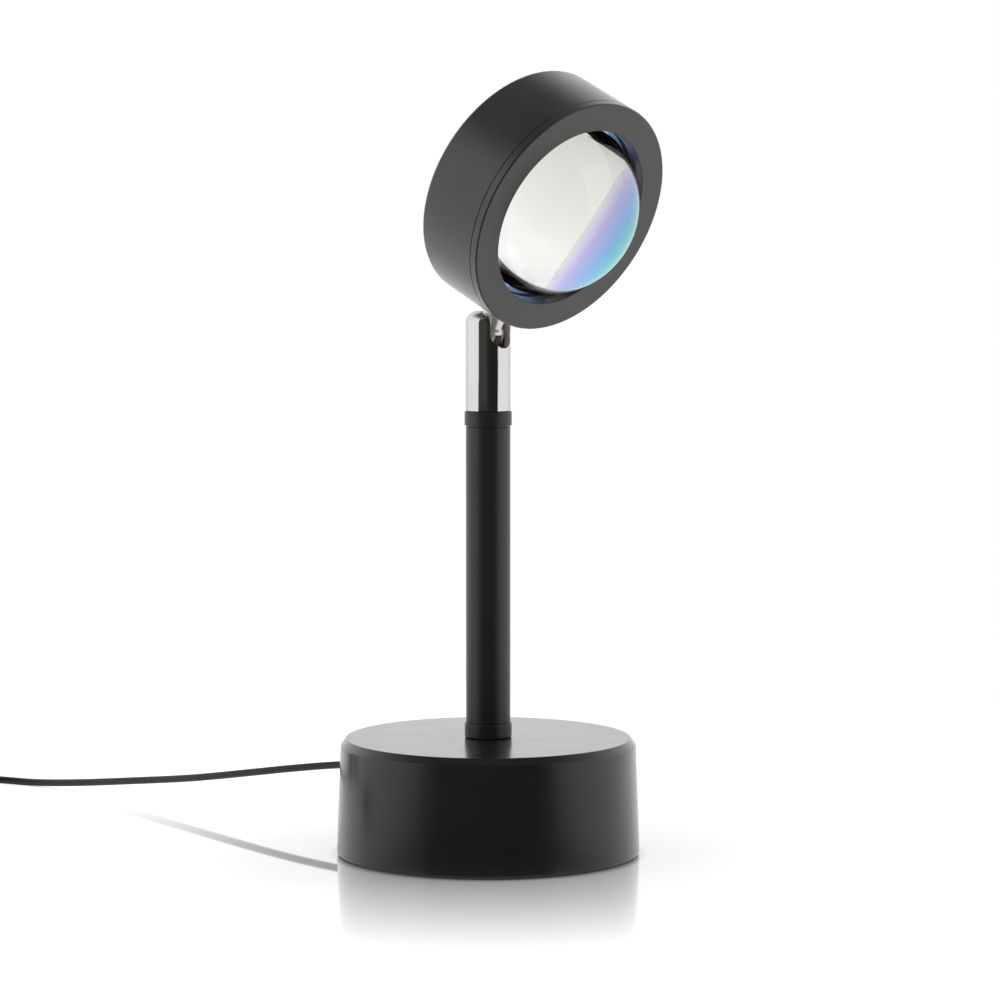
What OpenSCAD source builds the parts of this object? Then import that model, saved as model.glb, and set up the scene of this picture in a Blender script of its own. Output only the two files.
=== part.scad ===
// Sunset projection lamp: a weighted round base, a slim pole, a slotted chrome
// ball knuckle and a drum head with a tall domed lens, fed by a thin USB lead.
// Origin: centre of the foot, on the table. +Z up, -Y the front, the lead leaves at +Y.

/* [Base] */
// Diameter of the base at its lower edge
base_d = 100; // [90:1:130]
// Height of the base housing
base_h = 38; // [34:1:50]
// How much the side leans in from the lower edge to the chamfer
base_lean = 1.3; // [0.5:0.1:3]
// Width of the chamfer round the top face
chamfer_w = 1.8; // [0.8:0.1:4]
// Height of the same chamfer
chamfer_h = 2.4; // [0.8:0.1:5]
// Thickness of the housing's side
base_wall = 2.6; // [2:0.1:4]
// Thickness of the housing's roof
base_roof = 3; // [2:0.1:5]
// Thickness of the steel bottom plate
plate_t = 1.6; // [1:0.1:2.5]
// Thickness of the foam foot pad
pad_t = 0.9; // [0.7:0.1:1.5]
// How far the foot pad lifts the housing off the table
pad_proud = 0.6; // [0.3:0.1:0.7]
// Diameter of the cast ballast disc
ballast_d = 80; // [74:1:84]
// Thickness of the ballast disc
ballast_h = 9; // [5:0.5:10]
// Height of the lead's exit above the table
exit_z = 19.8; // [18:0.2:22]

/* [Pole] */
// Height from the base's top face to the top of the upper collar
pole_h = 107.7; // [60:1:200]
// Outer diameter of the pole
pole_d = 14.6; // [14:0.1:16]
// Wall of the pole
pole_wall = 1.3; // [1:0.1:1.6]
// How much wider both collars are than the pole
collar_over = 0.9; // [0.6:0.1:2]
// Height of a collar
collar_h = 4.8; // [4:0.1:8]
// Outer diameter of the threaded tube that clamps the pole
rod_d = 9.8; // [9.4:0.1:10]
// Bore of the threaded tube
rod_bore = 6.4; // [6:0.1:6.8]

/* [Knuckle] */
// Outer diameter of the chrome socket
socket_d = 14.6; // [14.2:0.1:16]
// Height of the chrome socket
socket_h = 32.7; // [32:0.1:44]
// Depth of the ball's centre below the socket's top
pivot_drop = 7.4; // [7:0.1:8]
// Radius of the socket's rounded top edge
socket_round = 4; // [2:0.1:5]
// Bore of the socket, in which the ball turns
socket_bore = 10.8; // [10.6:0.1:11.2]
// Width of the slot that the neck swings through
slot_w = 9.4; // [9:0.1:9.6]
// Diameter of the neck above the ball
neck_d = 7.6; // [7:0.1:8]
// Distance from the ball's centre to the drum
neck_reach = 10.3; // [9.8:0.1:14]

/* [Head] */
// Outer diameter of the drum
head_d = 79.3; // [76:0.1:90]
// Depth of the drum from the front face to the back
head_depth = 26.9; // [26.2:0.1:34]
// Wall of the drum
head_wall = 2.4; // [2:0.1:3]
// Thickness of the drum's back
head_back = 2.2; // [1.6:0.1:3]
// How far the neck stands behind the middle of the drum's depth
neck_setback = 4.2; // [3.8:0.1:5.4]
// Thickness of the front ring up to the seam
bezel_t = 2.9; // [2:0.1:4]
// Diameter of the opening in the front ring
opening_d = 60.8; // [56:0.1:62]
// Turn of the head about the pole, from the front
head_turn = 17.4; // [-90:0.1:90]
// Tilt of the head, forward from upright
head_tilt = 25.2; // [0:0.1:60]

/* [Optics] */
// Radius of the lens's dome
lens_r = 29.5; // [28.5:0.1:36]
// How far the dome stands out of the front face
lens_proud = 18.1; // [12:0.1:19]
// Diameter of the lens's flat rim
rim_d = 66; // [65:0.1:67]
// Thickness of the lens's flat rim
rim_t = 2.6; // [2:0.1:3]
// Depth of the rim's front below the front face
rim_depth = 5; // [4:0.1:5.2]
// Thickness of the colour filter glass
filter_t = 1.1; // [0.8:0.1:1.5]
// Diameter of the heat sink
sink_d = 54; // [48:1:58]
// Diameter of the light board
board_d = 25; // [24:1:28]

/* [Lead] */
// Diameter of the lead
lead_d = 2.6; // [2.2:0.1:2.8]
// Length of the tapered strain relief outside the base
relief_len = 12; // [8:0.5:20]
// Diameter of the coil at the middle of its turns
coil_d = 30; // [27:1:34]
// Step from one turn of the coil to the next, and from layer to layer
coil_step = 3.1; // [3.1:0.1:3.6]

/* [Switch and plug] */
// Length of the hand switch
switch_len = 48; // [44:1:60]
// Width of the hand switch
switch_w = 15; // [14:0.5:18]
// Height of the hand switch
switch_h = 11; // [10:0.5:14]
// Travel of the switch's button
button_travel = 0.8; // [0.5:0.1:1]
// Diameter of the switch's button
button_d = 8; // [7:0.5:9]
// Width of the plug's moulded grip
grip_w = 15.6; // [15:0.2:18]
// Length of the plug's moulded grip
grip_len = 22; // [18:1:30]

/* [Hidden] */
$fn = 96;

// Colours, as the photograph shows them
satin_black = [0.11, 0.11, 0.12];
charcoal = [0.20, 0.20, 0.19];
soft_black = [0.07, 0.07, 0.08];
chrome = [0.86, 0.87, 0.89];
steel = [0.62, 0.63, 0.65];
zinc = [0.70, 0.70, 0.66];
iron = [0.32, 0.31, 0.30];
brass = [0.78, 0.62, 0.30];
glass_tint = [0.90, 0.95, 1.00, 0.5];
filter_tint = [0.55, 0.75, 0.95, 0.6];
phosphor = [0.95, 0.80, 0.25];
board_white = [0.92, 0.92, 0.90];
sleeve_grey = [0.75, 0.75, 0.75];
block_cream = [0.85, 0.85, 0.82];
tongue_white = [0.93, 0.93, 0.93];

// Clearances
press_gap = 0.02;    // between pieces that are pushed or screwed together
run_gap = 0.05;      // between a shaft and its bearing
face_gap = 0.05;     // between faces that nearly rest on each other
slide_gap = 0.1;     // round a piece that is laid loosely in its place
loose_gap = 0.3;     // between pieces that pass each other
slack = 0.4;         // how much wider a clearance hole is than its screw
cut = 1;             // how far a cutting solid overshoots a face
weld = 0.5;          // how far joined solids run into each other

// Base, from the table up
housing_z = pad_proud;
base_top = housing_z + base_h;
plate_z = pad_t;
plate_top = plate_z + plate_t;
ballast_top = plate_top + ballast_h;
roof_z = base_top - base_roof;
base_r = base_d / 2;
shoulder_r = base_r - base_lean;
exit_r = base_r - base_lean * (exit_z - housing_z) / (base_h - chamfer_h);
plate_r = base_r - base_wall - loose_gap;
hub_d = 20;
hub_h = 4;
rib_t = 1.6;
rib_count = 6;
post_d = 7;
post_r = 33;
post_count = 3;
post_start = 30;
screw_d = 3;
screw_head_d = 5.6;
screw_grip = 9;
screw_spare = 1;
screw_z = plate_z + face_gap;
screw_floor = 0.5;         // steel left under a screw's head
screw_seat_z = plate_top - screw_floor;
ballast_round = 0.8;
post_clear = 0.5;          // round a post in its hole or notch
ballast_hole_d = post_d + 2 * post_clear;
core_hole_d = 16;
pad_inset = 1.5;
gland_d = 6.4;
gland_lip = 1.4;
gland_flange_t = 1.2;
gland_flange_over = 1.2;
gland_flange_d = gland_d + 2 * gland_flange_over;
gland_collar_over = 1;
gland_collar_d = gland_d + 2 * gland_collar_over;
gland_clear = 0.7;         // of the flange from the round, leaning wall
gland_y = exit_r - base_wall - gland_clear;
gland_face_y = exit_r + face_gap;
relief_step = 0.5;
relief_root_d = gland_d - 2 * relief_step;
sleeve_wall = 0.5;         // of a moulded sleeve where the lead leaves it
relief_tip_d = lead_d + 2 * sleeve_wall;

// Stem
stem_top = base_top + pole_h;
nut_h = 5;
nut_flats = 14;
washer_t = 1;
washer_over = 1.5;
washer_d = nut_flats + 2 * washer_over;
rod_tail = 2;
rod_low = roof_z - hub_h - washer_t - nut_h - rod_tail;
collar_d = max(pole_d, socket_d) + collar_over;
collar_floor = 1.6;
collar_round = 0.6;
fit_d = pole_d + 2 * press_gap;

// Knuckle
pan_gap = 0.15;
socket_z = stem_top + pan_gap;
pivot_z = stem_top + socket_h - pivot_drop;
ball_gap = 0.25;
ball_r = socket_bore / 2 - ball_gap;
bush_h = 4;
bush_bore = 8;
spacer_t = 0.8;
bolt_head_t = 2.2;
bolt_head_d = 9.8;
bolt_thread = 8;
bolt_bore = 4.2;
bolt_head_z = socket_z + bush_h + spacer_t + slide_gap;
bolt_top = bolt_head_z + bolt_head_t;
spacer_d = socket_bore - 2 * loose_gap;
seat_h = 5;
seat_drop = neck_d / 2 + loose_gap;    // the neck passes over the seat when it lies level
seat_z = pivot_z - seat_drop - seat_h;
seat_bore = 5.6;
seat_d = socket_bore - loose_gap;
spring_wire = 1;
spring_d = 8.4;
spring_turns = 4;
spring_sides = 6;
spring_rings = 12;
spring_z = bolt_top + loose_gap;
spring_h = seat_z - spring_z - slide_gap;
channel_d = 3.4;
flange_d = 10.6;
flange_t = 1.6;
flange_round = 0.4;
saddle_t = 0.5;
flange_z = neck_reach - saddle_t - flange_t;
stud_d = 6;
stud_spare = 0.6;
boss_d = 12.4;
boss_t = 1.3;
boss_top = neck_reach + head_wall + boss_t;
neck_washer_t = 0.8;
neck_nut_h = 3;
neck_nut_flats = 10;
neck_washer_over = 1;
neck_washer_d = neck_nut_flats + 2 * neck_washer_over;
stud_top = boss_top + neck_washer_t + neck_nut_h + stud_spare;

// Head: distances named _s run back from the front face along the drum's axis
head_r = head_d / 2;
cup_r = head_r - head_wall;
seam_w = 0.3;
cup_s = bezel_t + seam_w;
inner_s = head_depth - head_back;
head_round = 1.2;
bezel_round = 0.35;
opening_r = opening_d / 2;
rim_r = rim_d / 2;
rim_s = rim_depth;
filter_s = rim_s + rim_t;
ring_s = filter_s + filter_t;
ring_t = 2.2;
ring_lip = 4;
spigot_r = cup_r - 2 * press_gap;
spigot_len = ring_s + ring_t - bezel_t;
dome_s = lens_r - lens_proud;
board_t = 1.6;
sink_t = 2.5;
fin_h = 2.5;
fin_t = 1;
fin_step = 3.2;
fin_count = 15;
sink_s = inner_s - fin_h - sink_t;
board_s = sink_s - board_t;
sink_post_count = 3;
sink_post_start = 90;
sink_post_inset = 4;
sink_post_r = sink_d / 2 - sink_post_inset;
sink_post_d = 6;
sink_notch_d = sink_post_d + 2 * post_clear;
small_screw_d = 2.4;
small_head_d = 4.4;
small_head_t = 1.2;
small_head_round = 0.4;
driver_slot = 0.6;
thread_spare = 0.8;
board_screw_count = 2;
board_screw_inset = 2.4;
board_screw_r = board_d / 2 - board_screw_inset;
sink_floor = 0.6;          // metal left under a board screw's hole
board_screw_grip = board_t + sink_t - sink_floor;
chip_w = 7;
chip_t = 1;
chip_dome_r = 2.6;
hood_tube_r = 7.4;
hood_wall = 1.2;
hood_tube_len = 4;
hood_under = 1.5;          // how far the hood's mouth reaches under the ring's lip
hood_mouth_r = rim_r - ring_lip + hood_under;
hood_mouth_s = ring_s + ring_t + slide_gap;

// Inner leads
core_d = 2.4;
pivot_clear = 1.3;
lead_bend = 8;
bend_step = 22.5;
lead_lift = 1.4;
lead_low = ballast_top + lead_lift + core_d / 2;
lead_start_y = gland_y - gland_flange_t;
tie_t = 2.4;
tie_wall = 1.2;
tie_lock_w = 3.4;
tie_lock_h = 4;

// Free lead
relief_tip = exit_r + gland_lip + relief_len;
lead_z = lead_d / 2;
coil_layers = 4;
layer_turns = 3;
coil_sides = 6;
coil_rings = 24;
coil_x = -117;
coil_y = 215;
coil_angle = 30;
coil_out = coil_d / 2 + coil_step * layer_turns / 2;
run_route = [
    [-4, 74, 19.4], [-13, 87, 18.3], [-24, 101, 16], [-34, 115, 13.3], [-47, 136, 9.4],
    [-59, 159, 6.1], [-72, 182, 3.1], [-82, 199, 1.5], [-90, 211, 1.3]
];
tail_route = [
    [-113, 243, 8.5], [-126, 251, 5.2], [-140, 251, 3.4], [-151, 244, 4.2]
];
end_route = [
    [-158, 170, 3.2], [-164, 157, 1.7], [-164, 143, 1.5], [-158, 131, 2.6]
];
tube_sides = 8;
route_steps = 3;

// Switch, lying along Y with its outer end towards the coil
switch_x = -155;
switch_y = 206;
case_split = switch_h / 2;
case_round = 2.4;
block_l = 14;
block_w = 8.4;
block_h = 5;
block_top = case_split + block_h / 2;
button_proud = 1.4;
button_gap = 0.25;
button_round = 0.6;
button_air = 0.15;         // left under the button when it is pressed home
button_z = block_top + button_travel + button_air;
button_collar = 1;
button_collar_t = 0.8;
button_collar_top = button_z + button_collar_t;
case_screw_d = 2;
case_screw_inset = 8;
case_screw_y = switch_len / 2 - case_screw_inset;
case_screw_head_d = 3.8;
case_screw_head_z = 0.6;
case_screw_seat_z = 1.6;
case_screw_bite = 2.4;

// Plug, pointing along -Y
plug_x = -156;
plug_y = 117;
grip_h = 8;
grip_round = 3;
grip_boot = 8;
plug_z = grip_h / 2;
shell_w = 12;
shell_h = 4.5;
shell_wall = 0.35;
shell_len = 18.6;
shell_root = 3;
shell_floor = 0.4;
shell_start = grip_boot + grip_len - shell_root;
window_w = 2.2;
window_h = 2.4;
window_far = 7.5;
boot_tip_d = lead_d + 2 * sleeve_wall;
boot_step = 0.8;
boot_root_d = grip_h - 2 * boot_step;
tongue_h = 1.9;
tongue_w = shell_w - 2 * shell_wall - 2 * press_gap;
tongue_low = shell_wall + press_gap - shell_h / 2;
tongue_recess = 0.8;
tongue_len = shell_len - shell_floor - tongue_recess;
contact_w = 1.1;
contact_t = 0.2;
contact_step = 2.2;
contact_count = 4;
contact_start = 8;
contact_inset = 1.2;
contact_len = shell_len - tongue_recess - contact_inset - contact_start;

function unit(v) = v / norm(v);
function last(list) = list[len(list) - 1];

// Smooth curve through every point of p, with k steps from point to point
function curve(p, k) = [
    for (i = [0 : len(p) - 2], j = [0 : k - 1])
        let (
            a = i > 0 ? p[i - 1] : 2 * p[0] - p[1],
            b = p[i],
            c = p[i + 1],
            d = i + 2 < len(p) ? p[i + 2] : 2 * c - b,
            t = j / k
        )
        b + t / 2 * ((c - a) + t * ((2 * a - 5 * b + 4 * c - d) + t * (3 * b - a - 3 * c + d))),
    last(p)
];

// One closed tube along a path; ref is a direction that the path never follows
module tube(path, d, sides, ref = [0, 0, 1]) {
    n = len(path);
    rings = [
        for (i = [0 : n - 1])
            let (
                ahead = path[min(i + 1, n - 1)],
                behind = path[max(i - 1, 0)],
                t = unit(ahead - behind),
                u = unit(cross(ref, t)),
                v = cross(t, u)
            )
            for (j = [0 : sides - 1])
                path[i] + d / 2 * (cos(360 * j / sides) * u + sin(360 * j / sides) * v)
    ];
    sides_faces = [
        for (i = [0 : n - 2], j = [0 : sides - 1], half = [0, 1])
            let (
                k = (j + 1) % sides,
                a = i * sides + j,
                b = i * sides + k,
                c = a + sides,
                e = b + sides
            )
            half == 0 ? [a, c, b] : [b, c, e]
    ];
    start_cap = [for (j = [0 : sides - 1]) j];
    end_cap = [for (j = [sides - 1 : -1 : 0]) (n - 1) * sides + j];
    polyhedron(rings, concat(sides_faces, [start_cap, end_cap]), convexity = 10);
}

// Solid ring or disc with rounded outer edges, from z = 0 up
module rounded_ring(r, h, bore_r, low_round, high_round) {
    rotate_extrude() difference() {
        rounded_half(r, h, low_round, high_round);
        translate([-cut, -cut]) square([bore_r + cut, h + 2 * cut]);
    }
}

// Half section of a disc with rounded outer corners
module rounded_half(r, h, low_round, high_round) {
    translate([0, low_round]) square([r, h - low_round - high_round]);
    square([r - low_round, h - high_round]);
    translate([0, low_round]) square([r - high_round, h - low_round]);
    if (low_round > 0) translate([r - low_round, low_round]) circle(low_round);
    if (high_round > 0) translate([r - high_round, h - high_round]) circle(high_round);
}

// Flat outline with rounded corners, centred
module rounded_rect(w, h, r) {
    square([w - 2 * r, h], center = true);
    square([w, h - 2 * r], center = true);
    for (x = [-1, 1], y = [-1, 1])
        translate([x * (w / 2 - r), y * (h / 2 - r)]) circle(r);
}

module hex_nut(flats, h, bore) {
    difference() {
        cylinder(d = flats / cos(30), h = h, $fn = 6);
        translate([0, 0, -cut]) cylinder(d = bore, h = h + 2 * cut);
    }
}

module washer(d, h, bore) {
    difference() {
        cylinder(d = d, h = h);
        translate([0, 0, -cut]) cylinder(d = bore, h = h + 2 * cut);
    }
}

module around(count, r, start = 0) {
    for (i = [0 : count - 1])
        rotate([0, 0, start + 360 * i / count]) translate([r, 0, 0]) children();
}

// ---- Base ----

module at_posts(z) {
    around(post_count, post_r, post_start) translate([0, 0, z]) children();
}

module base_outline() {
    polygon([
        [0, housing_z], [base_r, housing_z], [shoulder_r, base_top - chamfer_h],
        [shoulder_r - chamfer_w, base_top], [0, base_top]
    ]);
}

module base_hollow() {
    polygon([
        [0, housing_z - cut], [base_r - base_wall, housing_z - cut], [base_r - base_wall, housing_z],
        [shoulder_r - base_wall, roof_z], [0, roof_z]
    ]);
}

module base_housing() {
    color(satin_black) difference() {
        union() {
            rotate_extrude() difference() {
                base_outline();
                base_hollow();
            }
            translate([0, 0, roof_z - hub_h]) cylinder(d = hub_d, h = hub_h + cut);
            around(rib_count, hub_d / 2 - weld, post_start)
                translate([0, -rib_t / 2, roof_z - hub_h])
                    cube([shoulder_r - base_wall - hub_d / 2 + 2 * weld, rib_t, hub_h + weld]);
            at_posts(plate_top) cylinder(d = post_d, h = roof_z - plate_top + weld);
        }
        translate([0, 0, roof_z - hub_h - cut])
            cylinder(d = rod_d + 2 * press_gap, h = hub_h + base_roof + 2 * cut);
        at_posts(plate_top - cut)
            cylinder(d = screw_d + 2 * press_gap, h = screw_grip + cut + screw_spare);
        translate([0, exit_r + cut, exit_z]) rotate([90, 0, 0])
            cylinder(d = gland_d + 2 * press_gap, h = base_wall + base_lean + 3 * cut);
    }
}

module bottom_plate() {
    color(steel) difference() {
        translate([0, 0, plate_z]) cylinder(r = plate_r, h = plate_t);
        at_posts(plate_z - cut) {
            cylinder(d = screw_d + slack, h = plate_t + 2 * cut);
            cylinder(d = screw_head_d + slack, h = screw_seat_z - plate_z + cut);
        }
    }
}

module plate_screws() {
    color(zinc) at_posts(screw_z) {
        cylinder(d = screw_head_d, h = screw_seat_z - screw_z);
        cylinder(d = screw_d, h = plate_t + screw_grip);
    }
}

module ballast_disc() {
    color(iron) difference() {
        translate([0, 0, plate_top])
            rounded_ring(ballast_d / 2, ballast_h, core_hole_d / 2, ballast_round, ballast_round);
        at_posts(plate_top - cut) cylinder(d = ballast_hole_d, h = ballast_h + 2 * cut);
    }
}

module foot_pad() {
    color(soft_black) cylinder(r = plate_r - pad_inset, h = pad_t);
}

// Puts things on the lead's axis where it leaves the base, +Z outwards
module at_exit(y) {
    translate([0, y, exit_z]) rotate([-90, 0, 0]) children();
}

module strain_relief() {
    color(soft_black) {
        at_exit(gland_y - gland_flange_t) cylinder(d = gland_flange_d, h = gland_flange_t);
        at_exit(gland_y - weld) cylinder(d = gland_d, h = gland_face_y - gland_y + 2 * weld);
        at_exit(gland_face_y) cylinder(d = gland_collar_d, h = relief_tip - relief_len - gland_face_y);
        at_exit(relief_tip - relief_len) cylinder(d1 = relief_root_d, d2 = relief_tip_d, h = relief_len);
    }
}

module cable_tie() {
    color(soft_black) at_exit(lead_start_y - tie_t - slide_gap) difference() {
        union() {
            cylinder(d = core_d + 2 * tie_wall, h = tie_t);
            translate([-tie_lock_w / 2, -core_d / 2 - tie_lock_h, 0])
                cube([tie_lock_w, tie_lock_h, tie_t]);
        }
        translate([0, 0, -cut]) cylinder(d = core_d + 2 * press_gap, h = tie_t + 2 * cut);
    }
}

// ---- Stem ----

module stem_washer() {
    color(zinc) translate([0, 0, roof_z - hub_h - washer_t])
        washer(washer_d, washer_t, rod_d + slack);
}

module stem_nut() {
    color(zinc) translate([0, 0, roof_z - hub_h - washer_t - nut_h])
        hex_nut(nut_flats, nut_h, rod_d + 2 * press_gap);
}

module threaded_tube() {
    color(zinc) translate([0, 0, rod_low]) washer(rod_d, stem_top - rod_low, rod_bore);
}

module collar() {
    difference() {
        rounded_ring(collar_d / 2, collar_h, rod_d / 2 + press_gap, collar_round, collar_round);
        translate([0, 0, collar_floor]) cylinder(d = fit_d, h = collar_h);
    }
}

module lower_collar() {
    color(satin_black) translate([0, 0, base_top]) collar();
}

module upper_collar() {
    color(satin_black) translate([0, 0, stem_top]) mirror([0, 0, 1]) collar();
}

module pole_tube() {
    color(satin_black) translate([0, 0, base_top + collar_floor])
        washer(pole_d, pole_h - 2 * collar_floor, pole_d - 2 * pole_wall);
}

module swivel_bolt() {
    color(zinc) difference() {
        union() {
            translate([0, 0, stem_top - bolt_thread])
                cylinder(d = rod_bore - 2 * press_gap, h = bolt_thread + cut);
            translate([0, 0, stem_top])
                cylinder(d = bush_bore - 2 * run_gap, h = bolt_head_z - stem_top + weld);
            translate([0, 0, bolt_head_z]) cylinder(d = bolt_head_d, h = bolt_head_t);
        }
        translate([0, 0, stem_top - bolt_thread - cut])
            cylinder(d = bolt_bore, h = bolt_thread + bolt_top - stem_top + 2 * cut);
    }
}

// ---- Knuckle, turned with the head ----

module turned() {
    rotate([0, 0, head_turn]) children();
}

module knuckle_socket() {
    rise = stem_top + socket_h - socket_z;
    color(chrome) turned() difference() {
        translate([0, 0, socket_z])
            rounded_ring(socket_d / 2, rise, 0, 0, socket_round);
        // bored from below, with a round end that holds the ball
        translate([0, 0, socket_z - cut]) cylinder(d = socket_bore, h = pivot_z - socket_z + cut);
        translate([0, 0, pivot_z]) sphere(d = socket_bore);
        // slot open to the front and the top
        translate([0, 0, pivot_z]) rotate([90, 0, 0]) cylinder(d = slot_w, h = socket_d);
        translate([-slot_w / 2, -socket_d, pivot_z]) cube([slot_w, socket_d, socket_d]);
        translate([0, 0, pivot_z]) cylinder(d = slot_w, h = socket_d);
    }
}

module swivel_bush() {
    color(brass) translate([0, 0, socket_z])
        washer(socket_bore - 2 * press_gap, bush_h, bush_bore);
}

module swivel_washer() {
    color(steel) translate([0, 0, socket_z + bush_h])
        washer(spacer_d, spacer_t, bush_bore + slack);
}

module seat_spring() {
    rise = spring_h - spring_wire;
    steps = spring_turns * spring_rings;
    path = [
        for (i = [0 : steps])
            let (a = 360 * i / spring_rings)
            [
                spring_d / 2 * cos(a), spring_d / 2 * sin(a),
                spring_z + spring_wire / 2 + rise * i / steps
            ]
    ];
    color(steel) tube(path, spring_wire, spring_sides);
}

module friction_seat() {
    color(steel) difference() {
        translate([0, 0, seat_z]) cylinder(d = seat_d, h = seat_h);
        translate([0, 0, seat_z - cut]) cylinder(d = seat_bore, h = seat_h + 2 * cut);
        translate([0, 0, pivot_z]) sphere(r = ball_r + ball_gap);
    }
}

// ---- Head, drawn with the ball's centre at the origin and the front at -Y ----

module posed() {
    translate([0, 0, pivot_z]) rotate([0, 0, head_turn]) rotate([head_tilt, 0, 0]) children();
}

// Puts the drum's axis along +Z, with the front face at z = 0
module along_drum() {
    translate([0, -neck_setback - head_depth / 2, neck_reach + head_r])
        rotate([-90, 0, 0]) children();
}

module at_sink_posts(s) {
    around(sink_post_count, sink_post_r, sink_post_start) translate([0, 0, s]) children();
}

module at_board_screws(s) {
    around(board_screw_count, board_screw_r) translate([0, 0, s]) children();
}

module ball_neck() {
    color(chrome) posed() difference() {
        union() {
            sphere(r = ball_r);
            cylinder(d = neck_d, h = flange_z + weld);
            translate([0, 0, flange_z]) rounded_ring(flange_d / 2, flange_t, 0, flange_round, 0);
            translate([0, 0, flange_z + flange_t - weld])
                cylinder(d = stud_d, h = stud_top - flange_z - flange_t + weld);
        }
        cylinder(d = channel_d, h = stud_top + cut);
        // window that lets the lead stay upright while the neck swings down
        translate([-channel_d / 2, -ball_r - cut, -ball_r - cut])
            cube([channel_d, ball_r + cut + channel_d / 2, ball_r + cut + channel_d / 2]);
    }
}

module saddle_washer() {
    color(soft_black) posed() difference() {
        translate([0, 0, flange_z + flange_t]) washer(flange_d, saddle_t + cut, stud_d + slack);
        // the drum's own curve, fine enough for a washer this thin
        along_drum() translate([0, 0, -cut])
            cylinder(r = head_r + press_gap, h = head_depth + 2 * cut, $fn = 720);
    }
}

module neck_washer() {
    color(zinc) posed() translate([0, 0, boss_top])
        washer(neck_washer_d, neck_washer_t, stud_d + slack);
}

module neck_nut() {
    color(zinc) posed() translate([0, 0, boss_top + neck_washer_t])
        hex_nut(neck_nut_flats, neck_nut_h, stud_d + 2 * press_gap);
}

module head_housing() {
    color(charcoal) posed() difference() {
        union() {
            along_drum() {
                translate([0, 0, cup_s]) difference() {
                    rounded_ring(head_r, head_depth - cup_s, 0, 0, head_round);
                    translate([0, 0, -cut]) cylinder(r = cup_r, h = inner_s - cup_s + cut);
                }
                at_sink_posts(inner_s - fin_h) cylinder(d = sink_post_d, h = fin_h + weld);
            }
            intersection() {
                cylinder(d = boss_d, h = boss_top);
                along_drum() translate([0, 0, cup_s])
                    cylinder(r = head_r - weld, h = head_depth - cup_s - weld);
            }
        }
        cylinder(d = stud_d + slack, h = boss_top + cut);
        along_drum() at_sink_posts(inner_s - fin_h - cut)
            cylinder(d = small_screw_d + 2 * press_gap, h = fin_h + cut + thread_spare);
    }
}

module front_bezel() {
    color(charcoal) posed() along_drum() difference() {
        union() {
            mirror([0, 0, 1]) translate([0, 0, -bezel_t])
                rounded_ring(head_r, bezel_t, 0, 0, bezel_round);
            cylinder(r = spigot_r, h = bezel_t + spigot_len);
        }
        translate([0, 0, -cut]) cylinder(r = opening_r, h = rim_s + 2 * cut);
        translate([0, 0, rim_s]) cylinder(r = rim_r + press_gap, h = spigot_len + bezel_t);
    }
}

module lens() {
    color(glass_tint) posed() along_drum() {
        translate([0, 0, rim_s]) cylinder(r = rim_r, h = rim_t);
        difference() {
            translate([0, 0, dome_s]) sphere(r = lens_r, $fn = 128);
            translate([0, 0, rim_s + rim_t - weld]) cylinder(r = lens_r + cut, h = 2 * lens_r);
        }
    }
}

module colour_filter() {
    color(filter_tint) posed() along_drum() translate([0, 0, filter_s])
        cylinder(r = rim_r - slide_gap, h = filter_t);
}

module retaining_ring() {
    color(soft_black) posed() along_drum() translate([0, 0, ring_s])
        washer(rim_d - 2 * press_gap, ring_t, rim_d - 2 * ring_lip);
}

module heat_sink() {
    color(steel) posed() along_drum() difference() {
        union() {
            translate([0, 0, sink_s]) cylinder(d = sink_d, h = sink_t);
            intersection() {
                translate([0, 0, sink_s]) cylinder(d = sink_d, h = sink_t + fin_h);
                for (i = [0 : fin_count - 1])
                    translate([(i - (fin_count - 1) / 2) * fin_step, 0, sink_s + sink_t / 2])
                        linear_extrude(sink_t / 2 + fin_h) square([fin_t, 2 * sink_d], center = true);
            }
        }
        at_sink_posts(sink_s + sink_t) cylinder(d = sink_notch_d, h = fin_h + cut);
        at_sink_posts(sink_s - cut) cylinder(d = small_screw_d + slack, h = sink_t + 2 * cut);
        at_board_screws(sink_s - cut)
            cylinder(d = small_screw_d + 2 * press_gap, h = board_screw_grip - board_t + cut + slide_gap);
    }
}

module small_screw(grip) {
    cylinder(d = small_screw_d, h = grip);
    translate([0, 0, -small_head_t]) difference() {
        rounded_ring(small_head_d / 2, small_head_t, 0, small_head_round, 0);
        translate([-driver_slot / 2, -small_head_d, -cut])
            cube([driver_slot, 2 * small_head_d, cut + small_head_t / 2]);
    }
}

module heat_sink_screws() {
    color(zinc) posed() along_drum() at_sink_posts(sink_s) small_screw(sink_t + fin_h);
}

module light_board() {
    color(board_white) posed() along_drum() difference() {
        translate([0, 0, board_s]) cylinder(d = board_d, h = board_t);
        at_board_screws(board_s - cut) cylinder(d = small_screw_d + slack, h = board_t + 2 * cut);
    }
}

module board_screws() {
    color(zinc) posed() along_drum() at_board_screws(board_s) small_screw(board_screw_grip);
}

module light_emitter() {
    color(phosphor) posed() along_drum() {
        translate([-chip_w / 2, -chip_w / 2, board_s - chip_t]) cube([chip_w, chip_w, chip_t]);
        intersection() {
            translate([0, 0, board_s - chip_t]) sphere(r = chip_dome_r);
            translate([0, 0, board_s - chip_t - chip_dome_r])
                cylinder(r = chip_w / 2, h = chip_dome_r + chip_t / 2);
        }
    }
}

module light_hood() {
    tube_s = board_s - hood_tube_len;
    color(soft_black) posed() along_drum() rotate_extrude() polygon([
        [hood_tube_r, board_s], [hood_tube_r, tube_s + hood_wall],
        [hood_mouth_r, hood_mouth_s + hood_wall], [hood_mouth_r, hood_mouth_s],
        [hood_tube_r - hood_wall, tube_s], [hood_tube_r - hood_wall, board_s]
    ]);
}

// ---- Leads inside the lamp ----

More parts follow.
